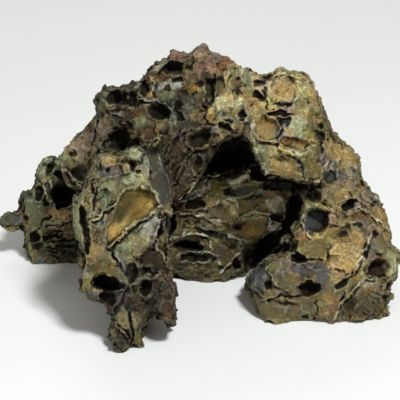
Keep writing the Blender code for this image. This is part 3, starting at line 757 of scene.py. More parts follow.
LEDGE_PATCHES = (
    Patch("top oval", FROST, "222,175 230,171 240,170 249,171 247,179 240,184 230,185",
          -3, 4, calm=0.9, tint=0.95),
    Patch("slate underside", DARK_SLATE, "222,188 236,187 248,185 257,186 250,193 238,198 226,195",
          6, calm=0.6),
    Patch("maroon pocket", MAROON, "183,204 194,198 203,200 207,205 196,209 186,208", 9),
    Patch("tan block", CREAM, "224,199 233,198 238,206 238,215 229,215 225,208", -2, 4),
    Patch("black side pit", BLACK, "164,216 174,215 177,228 172,236 165,232", 15, calm=0, tint=1),
    Patch("great olive scoop", TAN, "237,223 248,218 262,218 269,226 263,236 250,241 240,239 233,231",
          9, 6, calm=0.85),
    Patch("green plate right", FROST, "266,201 280,197 290,200 289,211 276,213 267,210",
          -1, 4, calm=0.8, tint=0.95),
    Patch("slate pocket", DARK_SLATE, "269,215 282,213 285,218 276,222 269,220", 8),
    Patch("long cave", MAROON, "172,240 182,239 195,242 204,247 196,251 184,249 175,247",
          11, 2.5, calm=0, tint=0.95),
    Patch("low cave", DARK_OLIVE, "177,257 188,254 204,257 217,258 214,262 198,261 182,262", 7, 2),
    Patch("black hole", BLACK, "230,262 236,258 242,260 241,267 234,270", 13, 2.5, calm=0, tint=1),
    Patch("great crevice", BLACK, "298,200 303,203 303,214 298,228 288,238 278,246 267,255 257,264 250,269 "
          "248,263 260,253 272,245 284,236 293,226 297,214", 12, 4, calm=0, tint=1),
)

LEG_PATCHES = (
    Patch("head", TAN, "327,143 334,138 346,145 358,157 358,164 350,167 339,166 330,158", calm=0, tint=0.8),
    Patch("slate block", DARK_SLATE, "323,172 334,171 337,180 329,183 323,181", 4, calm=0.9, tint=0.95),
    Patch("tan ledge", DRAB, "320,187 334,184 348,188 353,198 346,205 334,209 322,201",
          -3, 4, calm=0.4, tint=0.8),
    Patch("black slit", BLACK, "308,182 314,181 316,192 311,196", 12, 2.5),
    Patch("dark pocket", MAROON, "306,194 320,190 322,199 312,202", 10),
    Patch("cream chip", PALE_GREEN, "301,207 312,201 321,202 318,209 306,212", -2),
    Patch("black eye", BLACK, "340,208 348,199 355,199 352,208 344,212", 13, 2.2, calm=0, tint=1),
    Patch("great pit", SLATE, "303,219 312,211 327,211 328,220 323,231 312,235 304,230",
          4, 4, calm=0.8, tint=1, steep=60),
    Patch("great pit black", BLACK, "311,211 327,210 328,219 322,215", 4, 2, calm=0, tint=0.9),
    Patch("olive plate low", DARK_OLIVE, "294,246 310,238 327,238 330,248 324,258 310,261 298,254",
          1, 4, calm=0.9, tint=0.6),
    Patch("peach plate", PEACH, "326,250 338,243 352,242 363,248 361,260 358,269 346,273 333,273 328,262",
          -3, 5, calm=0.3, tint=0.95),
    Patch("peach upper", PEACH, "345,230 360,231 367,240 360,247 349,243", -1, 4, calm=0.3, tint=0.9),
    Patch("red cave", BROWN, "363,266 372,262 381,264 385,274 374,278 366,275", 2, calm=0.3, tint=0.9),
    Patch("olive corner", PALE_GREEN, "386,249 397,256 399,268 393,281 387,277 386,262"),
    Patch("black mouth", BLACK, "289,253 298,251 306,256 309,261 298,263 291,259", 16, 2.5, calm=0, tint=1),
    Patch("purple plate", PURPLE, "292,263 308,262 316,266 312,276 298,275 291,269", 2, calm=0.6),
    Patch("slate plate", SLATE, "316,262 326,264 329,278 322,291 316,283 314,272", 1, calm=0.3),
    Patch("slate corner", SLATE, "249,268 260,262 268,268 269,284 262,295 249,291", 1, calm=0.7),
    Patch("corner pit", BLACK, "263,282 269,280 271,286 265,289", 12, 2),
    Patch("black cave", BLACK, "300,285 308,280 319,283 318,292 308,297 301,292", 19, calm=0, tint=1),
    Patch("red slot", MAROON, "333,287 342,279 350,280 346,286 336,290", 10, 2),
    Patch("great olive foot", DRAB, "259,304 276,301 289,306 288,319 274,325 259,319", calm=0.9),
    Patch("foot plate", DRAB, "297,300 312,298 318,308 312,320 298,316", calm=0.4),
)

PATCHES = LEFT_PATCHES + CROWN_PATCHES + BROW_PATCHES + LEDGE_PATCHES + LEG_PATCHES


@dataclass(frozen=True)
class Chart:
    """The leaning sheet that the stone is laid out on, and the apex that its rays start from."""

    lean: float = math.radians(26)
    middle: Point = (200.0, 200.0)
    centre: tuple[float, float, float] = (0.0039, -0.0264, 0.110)
    apex_distance: float = 1600.0

    @property
    def axes(self) -> np.ndarray:
        """Returns the sheet's right, up and outward directions, one to a row."""
        sine, cosine = math.sin(self.lean), math.cos(self.lean)
        return np.array([(1, 0, 0), (0, sine, cosine), (0, -cosine, sine)])

    @property
    def turn(self) -> Matrix:
        """Returns the matrix that turns a thing square to the sheet."""
        return Matrix([Vector(axis) for axis in self.axes]).transposed().to_4x4()

    @property
    def apex(self) -> np.ndarray:
        """Returns the place from which the chart's rays fan out."""
        return np.array(self.centre) + self.apex_distance * MM * self.axes[2]

    def place(self, x: float, y: float, depth: float) -> Vector:
        """Finds a place of the chart in the frame.

        Args:
            x: millimetres to the right of the chart's left edge.
            y: millimetres down from the chart's top edge.
            depth: millimetres in front of the sheet.

        Returns:
            The place in metres.
        """
        nearness = (self.apex_distance - depth) / self.apex_distance
        offsets = np.array([(x - self.middle[0]) * nearness, (self.middle[1] - y) * nearness, depth])
        return Vector(np.array(self.centre) + offsets @ self.axes * MM)

    def read(self, points: np.ndarray) -> tuple[np.ndarray, np.ndarray, np.ndarray]:
        """Finds points of the frame on the chart.

        Args:
            points: places in metres, one to a row.

        Returns:
            Their x, y and depth, each in millimetres.
        """
        right, up, depth = ((points - self.centre) @ self.axes.T / MM).T
        nearness = (self.apex_distance - depth) / self.apex_distance
        return self.middle[0] + right / nearness, self.middle[1] - up / nearness, depth

    def rays(self, points: np.ndarray) -> np.ndarray:
        """Returns the unit directions from the apex to the points."""
        away = points - self.apex
        return away / np.linalg.norm(away, axis=1, keepdims=True)


def eased(values: np.ndarray, low: float, high: float) -> np.ndarray:
    """Returns 0 below low and 1 above high, with a smooth rise between them."""
    share = np.clip((values - low) / (high - low), 0.0, 1.0)
    return share * share * (3.0 - 2.0 * share)


class Grit:
    """Random values laid out over space, seeded so that every run gives the same stone."""

    CELLS = 64
    CORNERS = tuple(np.array((i, j, k), dtype=np.int32) for i in (0, 1) for j in (0, 1) for k in (0, 1))
    AROUND = tuple(
        np.array((i, j, k), dtype=np.int32) for i in (-1, 0, 1) for j in (-1, 0, 1) for k in (-1, 0, 1)
    )

    def __init__(self, seed: int) -> None:
        """Fills a block of cells, with eight values in each."""
        self.table = np.random.default_rng(seed).random((self.CELLS**3, 8), dtype=np.float32)

    def _values(self, cells: np.ndarray) -> np.ndarray:
        """Returns the values of cells, with the block repeated over all space."""
        wrapped = cells % self.CELLS
        return self.table[(wrapped[:, 0] * self.CELLS + wrapped[:, 1]) * self.CELLS + wrapped[:, 2]]

    def waves(self, points: np.ndarray, size: float, octaves: int = 1) -> np.ndarray:
        """Makes smooth random waves.

        Args:
            points: places in millimetres, one to a row.
            size: the length of the largest waves, in millimetres.
            octaves: how many times smaller waves are added.

        Returns:
            Three independent values from about -1 to 1 for each point.
        """
        total = np.zeros((len(points), 3), dtype=np.float32)
        for octave in range(octaves):
            scaled = (points * (2.0**octave / size) + 11.7 * octave).astype(np.float32)
            low = np.floor(scaled).astype(np.int32)
            share = scaled - low
            share = share * share * (3.0 - 2.0 * share)
            sides = (1.0 - share, share)
            for corner in self.CORNERS:
                weight = sides[corner[0]][:, 0] * sides[corner[1]][:, 1] * sides[corner[2]][:, 2]
                total += weight[:, None] * (self._values(low + corner)[:, :3] * 2.0 - 1.0) / 2.0**octave
        return total

    def crests(self, points: np.ndarray, size: float, octaves: int) -> np.ndarray:
        """Makes sharp random ridges.

        Args:
            points: places in millimetres, one to a row.
            size: the distance between the largest ridges, in millimetres.
            octaves: how many times smaller ridges are added.

        Returns:
            Values from 0 in the valleys to about 1 on the ridges.
        """
        total = np.zeros(len(points))
        for octave in range(octaves):
            wave = self.waves(points + 57.0 * octave, size / 2.0**octave)[:, 0]
            total += (1.0 - np.abs(wave)) ** 3 / 2.0**octave
        return total / 1.6

    def bowls(self, points: np.ndarray, spacing: float) -> tuple[np.ndarray, np.ndarray]:
        """Scatters bowls, one to a cell, with sharp ridges where they meet.

        Args:
            points: places in millimetres, one to a row.
            spacing: the size of a cell, in millimetres.

        Returns:
            The depth from 0 to about 1, and the deepest bowl's own random value.
        """
        scaled = (points / spacing).astype(np.float32)
        low = np.floor(scaled).astype(np.int32)
        depth = np.zeros(len(points), dtype=np.float32)
        own = np.zeros(len(points), dtype=np.float32)
        for step in self.AROUND:
            cell = low + step
            values = self._values(cell)
            apart = scaled - cell - values[:, :3]
            axis = values[:, 4:7] - 0.5
            axis /= np.linalg.norm(axis, axis=1, keepdims=True) + 1e-6
            along = np.sum(apart * axis, axis=1)
            reach = 0.55 + 0.55 * values[:, 3]
            spread = (np.sum(apart * apart, axis=1) - 0.6 * along * along) / (reach * reach)
            bowl = (1.0 - spread) * reach * (0.4 + 0.6 * values[:, 7])
            deeper = bowl > depth
            depth = np.where(deeper, bowl, depth)
            own = np.where(deeper, values[:, 7] * 7.3 % 1.0, own)
        return depth, own

    def chips(self, points: np.ndarray, spacing: float) -> np.ndarray:
        """Breaks space into chips whose faces tilt at random, with steps between them.

        Args:
            points: places in millimetres, one to a row.
            spacing: the size of a chip, in millimetres.

        Returns:
            The height of each point on its chip, about -1 to 1.
        """
        scaled = (points / spacing - 0.5).astype(np.float32)
        low = np.floor(scaled).astype(np.int32)
        nearest = np.full(len(points), 9.0, dtype=np.float32)
        height = np.zeros(len(points), dtype=np.float32)
        for step in self.CORNERS:
            cell = low + step
            values = self._values(cell)
            apart = scaled - cell - 0.7 * (values[:, :3] - 0.5)
            distance = np.sum(apart * apart, axis=1)
            tilted = 2.4 * np.sum(apart * (values[:, 4:7] - 0.5), axis=1) + 0.9 * (values[:, 3] - 0.5)
            nearer = distance < nearest
            nearest = np.where(nearer, distance, nearest)
            height = np.where(nearer, tilted, height)
        return height


class Surface:
    """A mesh's vertices as arrays, with their places on the chart and whether its apex sees them."""

    SEEN_NEAR = 3.0  # how far behind what the apex sees a vertex may lie before it counts less
    SEEN_FAR = 13.0  # and before it doesn't count at all, both in mm
    NO_HIT = 9.0  # metres
    GROUND = (1.0, 6.0)  # heights between which a vertex may move less and more up and down
    TURNS = (3, 24)  # the turns of smoothing, counted from 0, after which the surface is compared
    CONE = 0.85  # how far the rays of the shade lean over
    LIFT = 0.6  # how far off the surface they start, in mm
    CLOSE = 34.0  # how far they reach, in mm

    def __init__(self, piece: bpy.types.Object, chart: Chart, look: bool = True) -> None:
        """Reads the piece's vertices and, to look, casts a ray at each of them.

        Args:
            piece: the mesh object.
            chart: the chart that the stone is laid out on.
            look: whether rays will be cast.
        """
        self.mesh = piece.data
        self.chart = chart
        self.points = self._read("co")
        self.normals = self._read("normal")
        self.x, self.y, _ = chart.read(self.points)
        self.rays = chart.rays(self.points)
        if look:
            self.tree = self._tree()
            self.seen = self._seen()

    def _read(self, name: str) -> np.ndarray:
        """Reads a vector of every vertex.

        Args:
            name: the vector, co or normal.

        Returns:
            The vectors, one to a row.
        """
        values = np.empty(len(self.mesh.vertices) * 3, dtype=np.float32)
        self.mesh.vertices.foreach_get(name, values)
        return values.reshape(-1, 3).astype(np.float64)

    @property
    def sites(self) -> np.ndarray:
        """Returns the vertices' places in millimetres."""
        return self.points / MM

    def _tree(self) -> BVHTree:
        """Sorts the mesh's faces into a tree.

        Returns:
            The tree, for casting rays at.
        """
        corners = np.empty(len(self.mesh.loops), dtype=np.int32)
        self.mesh.loops.foreach_get("vertex_index", corners)
        starts = np.empty(len(self.mesh.polygons), dtype=np.int32)
        self.mesh.polygons.foreach_get("loop_start", starts)
        faces = [face.tolist() for face in np.split(corners, starts[1:])]
        return BVHTree.FromPolygons(self.points.tolist(), faces)

    def _seen(self) -> np.ndarray:
        """Casts a ray at each vertex from the apex.

        Returns:
            1 where the apex sees it, falling to 0 where something stands before it.
        """
        apex = Vector(self.chart.apex)
        reach = np.linalg.norm(self.points - self.chart.apex, axis=1)
        first = [self.tree.ray_cast(apex, Vector(ray))[3] or self.NO_HIT for ray in self.rays]
        return 1.0 - eased((reach - np.array(first)) / MM, self.SEEN_NEAR, self.SEEN_FAR)

    @property
    def level(self) -> np.ndarray:
        """Flattens the normals near the ground, so that the feet stay on it.

        Returns:
            The normals, one to a row.
        """
        normals = self.normals.copy()
        normals[:, 2] *= eased(self.points[:, 2] / MM, *self.GROUND)
        return normals

    def move(self, push: np.ndarray, weather: np.ndarray) -> None:
        """Moves the vertices, and keeps them above the ground.

        Args:
            push: how far each goes away from the apex, in millimetres.
            weather: how far each goes in along its normal, in millimetres.
        """
        offsets = self.rays * push[:, None] - self.level * weather[:, None]
        moved = self.points + offsets * MM
        moved[:, 2] = np.maximum(moved[:, 2], 0.0)
        self.mesh.vertices.foreach_set("co", moved.astype(np.float32).ravel())
        self.mesh.update()

    def keep(self, name: str, values: np.ndarray) -> None:
        """Stores one value or one colour for each vertex as an attribute.

        Args:
            name: the attribute's name.
            values: the values, or the colours with one to a row.
        """
        if values.ndim == 1:
            layer = self.mesh.attributes.new(name, "FLOAT", "POINT")
            layer.data.foreach_set("value", values.astype(np.float32))
        else:
            layer = self.mesh.attributes.new(name, "FLOAT_COLOR", "POINT")
            opaque = np.concatenate([values, np.ones((len(values), 1))], axis=1)
            layer.data.foreach_set("color", opaque.astype(np.float32).ravel())

    def relief(self) -> tuple[np.ndarray, np.ndarray]:
        """Compares the surface with smoother copies of itself.

        Returns:
            How far it lies below a slightly and a much smoother surface, in millimetres.
        """
        ends = np.empty(len(self.mesh.edges) * 2, dtype=np.int32)
        self.mesh.edges.foreach_get("vertices", ends)
        ends = ends.reshape(-1, 2)
        count = len(self.points)
        degree = np.bincount(ends.ravel(), minlength=count).astype(np.float64)
        smooth = self.sites.copy()
        results = []
        for turn in range(self.TURNS[-1] + 1):
            for axis in range(3):
                pulled = np.bincount(ends[:, 0], smooth[ends[:, 1], axis], count)
                pulled += np.bincount(ends[:, 1], smooth[ends[:, 0], axis], count)
                smooth[:, axis] = pulled / degree
            if turn in self.TURNS:
                results.append(np.sum((smooth - self.sites) * self.normals, axis=1))
        return results[0], results[1]

    def shade(self) -> np.ndarray:
        """Finds how enclosed each vertex is, from rays cast out of it.

        Returns:
            Values from 0, open, to 1, enclosed.
        """
        turns = np.random.default_rng(5).random((8, 2))
        height = 1.0 - self.CONE * turns[:, 0]
        around = 2.0 * math.pi * turns[:, 1]
        flat = np.sqrt(1.0 - height**2)
        fan = np.stack([flat * np.cos(around), flat * np.sin(around), height], axis=1)
        helper = np.where(np.abs(self.normals[:, 2:]) < 0.7, (0.0, 0.0, 1.0), (1.0, 0.0, 0.0))
        side = np.cross(self.normals, helper)
        side /= np.linalg.norm(side, axis=1, keepdims=True) + TINY
        other = np.cross(self.normals, side)
        starts = self.points + self.normals * self.LIFT * MM
        closed = np.zeros(len(starts))
        reach = self.CLOSE * MM
        for right, up, out in fan:
            rays = side * right + other * up + self.normals * out
            hits = [self.tree.ray_cast(Vector(a), Vector(b), reach)[3] for a, b in zip(starts, rays)]
            closed += np.array([1.0 - hit / reach if hit is not None else 0.0 for hit in hits])
        return np.clip(closed / len(fan) * 2.0, 0.0, 1.0)


class Spots:
    """Places on the chart, and how they lie to its marks, outlines and lines."""

    LIP_OUT = 0.8  # how far outside its outline the lip of a hollow is highest
    LIP_HALF = 1.9  # half the lip's width
    LIP_LOW = 0.25  # the lip's height at the hollow's deepest side, as a share

    def __init__(self, x: np.ndarray, y: np.ndarray) -> None:
        """Keeps how far right and how far down the places are."""
        self.x = x
        self.y = y

    def some(self, picked: np.ndarray) -> "Spots":
        """Returns the picked places alone."""
        return Spots(self.x[picked], self.y[picked])

    def turned(self, at: Point, roll: float) -> tuple[np.ndarray, np.ndarray]:
        """Measures the places along a turned pair of axes.

        Args:
            at: where the axes meet.
            roll: how far they are turned, in degrees anticlockwise.

        Returns:
            How far along and how far across each place is.
        """
        angle = math.radians(roll)
        right, down = self.x - at[0], self.y - at[1]
        along = right * math.cos(angle) - down * math.sin(angle)
        return along, right * math.sin(angle) + down * math.cos(angle)

    def spread(self, mark: Mark) -> np.ndarray:
        """Returns how far the places are from a mark's middle, 1 at its outline."""
        along, across = self.turned((mark.x, mark.y), mark.roll)
        return np.sqrt((along / mark.wide) ** 2 + (across / mark.high) ** 2)

    def apart(self, line: tuple[Point, ...]) -> np.ndarray:
        """Measures how far the places are from a line.

        Args:
            line: the points of the line.

        Returns:
            The distance of each.
        """
        nearest = np.full(len(self.x), 1e9)
        for (x0, y0), (x1, y1) in zip(line, line[1:]):
            right, down = x1 - x0, y1 - y0
            share = ((self.x - x0) * right + (self.y - y0) * down) / (right**2 + down**2)
            share = np.clip(share, 0.0, 1.0)
            nearest = np.minimum(nearest, np.hypot(self.x - x0 - share * right, self.y - y0 - share * down))
        return nearest

    def within(self, outline: tuple[Point, ...]) -> np.ndarray:
        """Measures how far inside an outline the places are.

        Args:
            outline: its corners.

        Returns:
            The distance of each from it, below zero outside it.
        """
        crossings = np.zeros(len(self.x), dtype=int)
        for (x0, y0), (x1, y1) in zip(outline, outline[1:] + outline[:1]):
            if y0 != y1:
                level = (y0 > self.y) != (y1 > self.y)
                crossings += level & (self.x < x0 + (self.y - y0) * (x1 - x0) / (y1 - y0))
        return np.where(crossings % 2 == 1, 1.0, -1.0) * self.apart(outline + outline[:1])

    def near(self, outline: tuple[Point, ...], margin: float) -> np.ndarray:
        """Finds the places in the box of an outline.

        Args:
            outline: its corners.
            margin: how far outside the box they may be.

        Returns:
            Their numbers.
        """
        right, down = zip(*outline)
        level = (self.y > min(down) - margin) & (self.y < max(down) + margin)
        return np.flatnonzero(level & (self.x > min(right) - margin) & (self.x < max(right) + margin))

    def depth(self, patch: Patch, margin: float) -> tuple[np.ndarray, np.ndarray]:
        """Finds the places near a patch.

        Args:
            patch: the patch.
            margin: how far outside its box they may be.

        Returns:
            Their numbers, and how far inside its outline each is.
        """
        near = self.near(patch.corners, margin)
        return near, self.some(near).within(patch.corners)

    def ramp(self, patch: Patch) -> np.ndarray:
        """Measures how far the places are from the deepest side of a patch.

        Args:
            patch: the patch.

        Returns:
            0 at that side, rising to 1 at the opposite side.
        """
        right, down = math.cos(math.radians(patch.steep)), -math.sin(math.radians(patch.steep))
        ways = [right * corner[0] + down * corner[1] for corner in patch.corners]
        return np.clip((max(ways) - right * self.x - down * self.y) / (max(ways) - min(ways)), 0.0, 1.0)

    def brim(self, patch: Patch) -> tuple[np.ndarray, np.ndarray]:
        """Finds the raised lip of a hollow, which is highest opposite its deepest side.

        Args:
            patch: the hollow.

        Returns:
            The numbers of the places near it, and the share of the lip's height at each.
        """
        near, distance = self.depth(patch, 4.0)
        lip = np.clip(1.0 - np.abs(distance + self.LIP_OUT) / self.LIP_HALF, 0.0, 1.0)
        return near, lip * (self.LIP_LOW + (1.0 - self.LIP_LOW) * self.some(near).ramp(patch))

    def ridge(self, crease: Crease, ragged: np.ndarray) -> tuple[np.ndarray, np.ndarray, np.ndarray]:
        """Finds the places near a crease.

        Args:
            crease: the ridge or groove.
            ragged: how wide it is at each place, as a share of its own width.

        Returns:
            Their numbers, and their distances from the line and from its undercut, 1 at its side.
        """
        near = self.near(crease.points, 8.0)
        wide = 0.8 * crease.width * ragged[near]
        spots = self.some(near)
        below = Spots(spots.x, spots.y - UNDERCUT)
        return near, spots.apart(crease.points) / wide, below.apart(crease.points) / wide


@dataclass(frozen=True)
class Scale:
    """One size of random weathering, read at its own offset, so that no two sizes fall together."""

    spacing: float  # how far apart its bowls or chips are, in mm
    depth: float  # how deep they go, in mm
    offset: float = 0.0


class Weathering:
    """Presses the scoops, ridges and layers of the stone into its surface.

    Each call for waves, bowls or chips adds its own number to the places, so that no two agree.
    """

    HUGE_BOWLS = Scale(46.0, 16.0, 750.0)  # on the sides and the back alone
    LARGE_BOWLS = Scale(27.0, 11.0)
    MIDDLING_BOWLS = Scale(14.0, 7.5, 500.0)
    MEDIUM_BOWLS = Scale(9.0, 5.0, 900.0)
    SMALL_BOWLS = Scale(5.2, 1.2, 200.0)
    HUGE_CHIPS = Scale(34.0, 5.0, 150.0)  # on the sides and the back alone
    LARGE_CHIPS = Scale(21.0, 5.0, 250.0)
    MEDIUM_CHIPS = Scale(12.0, 3.4, 350.0)
    SMALL_CHIPS = Scale(6.0, 1.1, 450.0)
    WIDE_MEAN = 6.6  # what the wide weathering takes off everywhere, which is given back
    HUGE_MEAN = 6.0  # the same for the huge bowls
    FINE_MEAN = 0.8  # and for the fine weathering
    WIDE = 6.0  # marks at least this deep are pressed first, before the surface is made finer
    SWOLLEN = -4.0  # and so are swellings at least this high
    RAMP = 0.55  # the share of a hollow's depth that is lost at the side opposite its deepest
    LIP = 2.0  # how far the lip of a hollow stands up, in mm
    EDGE = (-0.5, 2.5)  # how far outside and inside its outline a patch's calm starts and is full
    OUTWARD = -2.4  # the most that the fine weathering may stand out, in mm
    HIDDEN = 0.75  # how calm the sides and the back are, where no mark lies

    def __init__(self, chart: Chart) -> None:
        """Fills the random values that the outlines and the weathering share."""
        self.chart = chart
        self.grit = Grit(11)

    def scooped(self, places: np.ndarray, scale: Scale) -> np.ndarray:
        """Returns how deep the bowls of one size are at places in millimetres."""
        return self.grit.bowls(places + scale.offset, scale.spacing)[0] * scale.depth

    def chipped(self, places: np.ndarray, scale: Scale) -> np.ndarray:
        """Returns how deep the chips of one size are at places in millimetres."""
        return self.grit.chips(places + scale.offset, scale.spacing) * scale.depth

    def wander(self, surface: Surface) -> Spots:
        """Lets the chart places waver, so that no outline is a plain ellipse.

        Args:
            surface: the surface.

        Returns:
            The places of its vertices.
        """
        shift = self.grit.waves(surface.sites, 15.0) + self.grit.waves(surface.sites + 300.0, 5.5, 2) * 1.2
        jag = [self.grit.chips(surface.sites + offset, 7.0) * 1.5 for offset in (620.0, 660.0)]
        return Spots(surface.x + shift[:, 0] + jag[0], surface.y + shift[:, 1] + jag[1])

    def hollowed(self, patches: list[Patch], spots: Spots) -> np.ndarray:
        """Adds up how deep the patches press.

        Args:
            patches: the patches; where two hollows meet, the deeper one holds.
            spots: the places.

        Returns:
            The depth in millimetres at each place, below zero where it swells.
        """
        deep, slight = np.zeros((2, len(spots.x)))
        for patch in patches:
            near, distance = spots.depth(patch, 1.0)
            share = np.clip((distance + 0.5) / patch.wall, 0.0, 1.0)
            ramp = self.RAMP * spots.some(near).ramp(patch) if patch.sunk > 0 else 0.0
            bowl = patch.sunk * (1.0 - (1.0 - share) ** 2) * (1.0 - ramp)
            if patch.sunk >= self.WIDE:
                deep[near] = np.maximum(deep[near], bowl)
            else:
                slight[near] += bowl
        return deep + slight

    def pressed(self, marks: list[Mark], spots: Spots) -> np.ndarray:
        """Adds up how deep the marks press.

        Args:
            marks: the marks; where two deep ones meet, the deeper one holds.
            spots: the places.

        Returns:
            The depth in millimetres at each place, below zero where it swells.
        """
        deep, slight = np.zeros((2, len(spots.x)))
        for mark in marks:
            reach = max(mark.wide, mark.high)
            near = np.flatnonzero((abs(spots.x - mark.x) < reach) & (abs(spots.y - mark.y) < reach))
            spread = np.clip(spots.some(near).spread(mark), 0.0, 1.0)
            steep = mark.sunk > 0.9 * min(mark.wide, mark.high)
            bowl = mark.sunk * (1.0 - spread**3 if steep else 1.0 - spread**2)
            if mark.sunk > 2.0:
                low = np.clip((spots.y[near] - mark.y) / mark.high * 0.5 + 0.5, 0.0, 1.0)
                bowl *= 1.0 - self.RAMP * low
            if mark.sunk >= self.WIDE:
                deep[near] = np.maximum(deep[near], bowl)
            elif mark.sunk < 0:
                slight[near] += bowl * (1.0 - spread**2)
            else:
                slight[near] += bowl
        return deep + slight

    def calm(self, surface: Surface, spots: Spots) -> np.ndarray:
        """Finds how free of fine weathering each vertex is.

        Args:
            surface: the surface.
            spots: its places on the chart.

        Returns:
            Values from 0 to 1, from the marks, patches and masses that say so.
        """
        rough = np.ones(len(spots.x))
        for mark in MARKS:
            if mark.calm > 0:
                rough = np.minimum(rough, 1.0 - mark.calm * (1.0 - eased(spots.spread(mark), 0.7, 1.1)))
        for patch in PATCHES:
            if patch.calm > 0:
                near, distance = spots.depth(patch, 1.0)
                rough[near] = np.minimum(rough[near], 1.0 - patch.calm * eased(distance, *self.EDGE))
        calm = 1.0 - rough**1.8
        for mass in MASSES:
            calm = np.maximum(calm, mass.calm * eased(spots.within(mass.corners), *self.EDGE))
        return calm * surface.seen + self.HIDDEN * (1.0 - surface.seen)

    def bite(self, surface: Surface) -> np.ndarray:
        """Blends from the zones how strongly the weather bites.

        Args:
            surface: the surface.

        Returns:
            The strength at each vertex.
        """
        total = np.zeros(len(surface.points))
        weights = np.full(len(surface.points), TINY)
        for zone in ZONES:
            distance = np.linalg.norm(surface.points - self.chart.place(*zone.at), axis=1) / MM
            weight = zone.weight(distance)
            total += weight * zone.rough
            weights += weight
        return total / weights

    def is_wide(self, mark: Mark | Patch) -> bool:
        """Returns whether a mark is pressed before the surface is made finer."""
        return mark.sunk >= self.WIDE or mark.sunk <= self.SWOLLEN

    def press_wide(self, piece: bpy.types.Object) -> None:
        """Presses the deep marks, and the large random bowls where no mark is.

        Args:
            piece: the stone with its coarse surface.
        """
        surface = Surface(piece, self.chart)
        spots = self.wander(surface)
        hollows = self.hollowed([patch for patch in PATCHES if self.is_wide(patch)], spots)
        marks = self.pressed([mark for mark in MARKS if self.is_wide(mark)], spots)
        push = np.maximum(marks, hollows) * surface.seen
        marked = surface.seen * (0.2 + 0.8 * eased(np.abs(push), 0.5, 5.0))
        bent = surface.sites + self.grit.waves(surface.sites + 70.0, 22.0) * 4.0
        rough = (1.0 - marked) * (1.0 - 0.5 * self.calm(surface, spots)) * self.bite(surface)
        bowls = self.scooped(bent, self.LARGE_BOWLS) + self.scooped(bent, self.MIDDLING_BOWLS)
        weather = rough * (bowls + self.chipped(bent, self.LARGE_CHIPS) - self.WIDE_MEAN)
        away = eased(np.sum(surface.normals * surface.rays, axis=1), 0.0, 0.5)
        bowls = self.scooped(bent, self.HUGE_BOWLS) - self.HUGE_MEAN
        weather += away * (bowls + self.chipped(bent, self.HUGE_CHIPS))
        surface.move(push, weather)

    def press_fine(self, piece: bpy.types.Object) -> None:
        """Presses the small marks, the creases, the opened layers and the small bowls.

        Args:
            piece: the stone with its fine surface.
        """
        surface = Surface(piece, self.chart)
        spots = self.wander(surface)
        push = self.pressed([mark for mark in MARKS if mark.sunk and not self.is_wide(mark)], spots)
        push += self.hollowed([patch for patch in PATCHES if patch.sunk and not self.is_wide(patch)], spots)
        ragged = self.ragged(surface)
        for crease in CREASES:
            near, distance, under = spots.ridge(crease, ragged)
            push[near] -= crease.rise * np.clip(1.0 - distance, 0.0, 1.0)
            if crease.rise > 0:
                push[near] += 0.7 * crease.rise * np.clip(1.0 - under, 0.0, 1.0)
        push += self.layers(surface, spots)
        for patch in PATCHES:
            if patch.sunk >= self.WIDE:
                near, lip = spots.brim(patch)
                push[near] -= self.LIP * lip * np.clip(ragged[near], 0.0, 1.5)
        calm = self.calm(surface, spots)
        bite = self.bite(surface)
        bent = self.bent(surface)
        bowls = self.scooped(bent, self.MEDIUM_BOWLS) + self.scooped(bent, self.SMALL_BOWLS)
        crest = self.grit.crests(surface.sites + 120.0, 13.0, 3) * 2.0
        chips = self.chipped(bent, self.MEDIUM_CHIPS) + self.chipped(bent, self.SMALL_CHIPS)
        weather = (1.0 - calm) * bite * (bowls - crest - self.FINE_MEAN)
        weather += chips * (1.05 - calm**2) * bite
        surface.move(push * surface.seen, np.maximum(weather, self.OUTWARD))

    def bent(self, surface: Surface) -> np.ndarray:
        """Returns the vertices' places, bent a little so that no bowl is round."""
        return surface.sites + self.grit.waves(surface.sites + 40.0, 9.0) * 2.0

    def ragged(self, surface: Surface) -> np.ndarray:
        """Returns how wide a crease is at each vertex, as a share of its own width."""
        return 1.0 + 0.75 * self.grit.waves(surface.sites + 440.0, 7.0, 2)[:, 0]

    def layers(self, surface: Surface, spots: Spots) -> np.ndarray:
        """Finds how deep the weather has eaten between the layers of the beddings.

        Args:
            surface: the surface.
            spots: its places on the chart.

        Returns:
            The depth in millimetres at each vertex.
        """
        total = np.zeros(len(spots.x))
        waver = self.grit.waves(surface.sites + 610.0, 30.0, 3)[:, 0] * 1.5
        patchy = self.grit.waves(surface.sites + 810.0, 13.0, 2)[:, 0]
        for bedding in BEDDINGS:
            right, down = spots.x - bedding.at[0], spots.y - bedding.at[1]
            across = spots.turned(bedding.at, bedding.roll)[1] / bedding.spacing
            within = (right / bedding.size[0]) ** 2 + (down / bedding.size[1]) ** 2
            share = (across + 0.8 * waver) % 1.0
            groove = np.where(share < 0.82, (share / 0.82) ** 1.6, (1.0 - share) / 0.18)
            strength = eased(1.0 - within, 0.0, 0.5) * (0.25 + 0.95 * eased(patchy, -0.4, 0.5))
            total += bedding.sunk * groove * strength
        return total


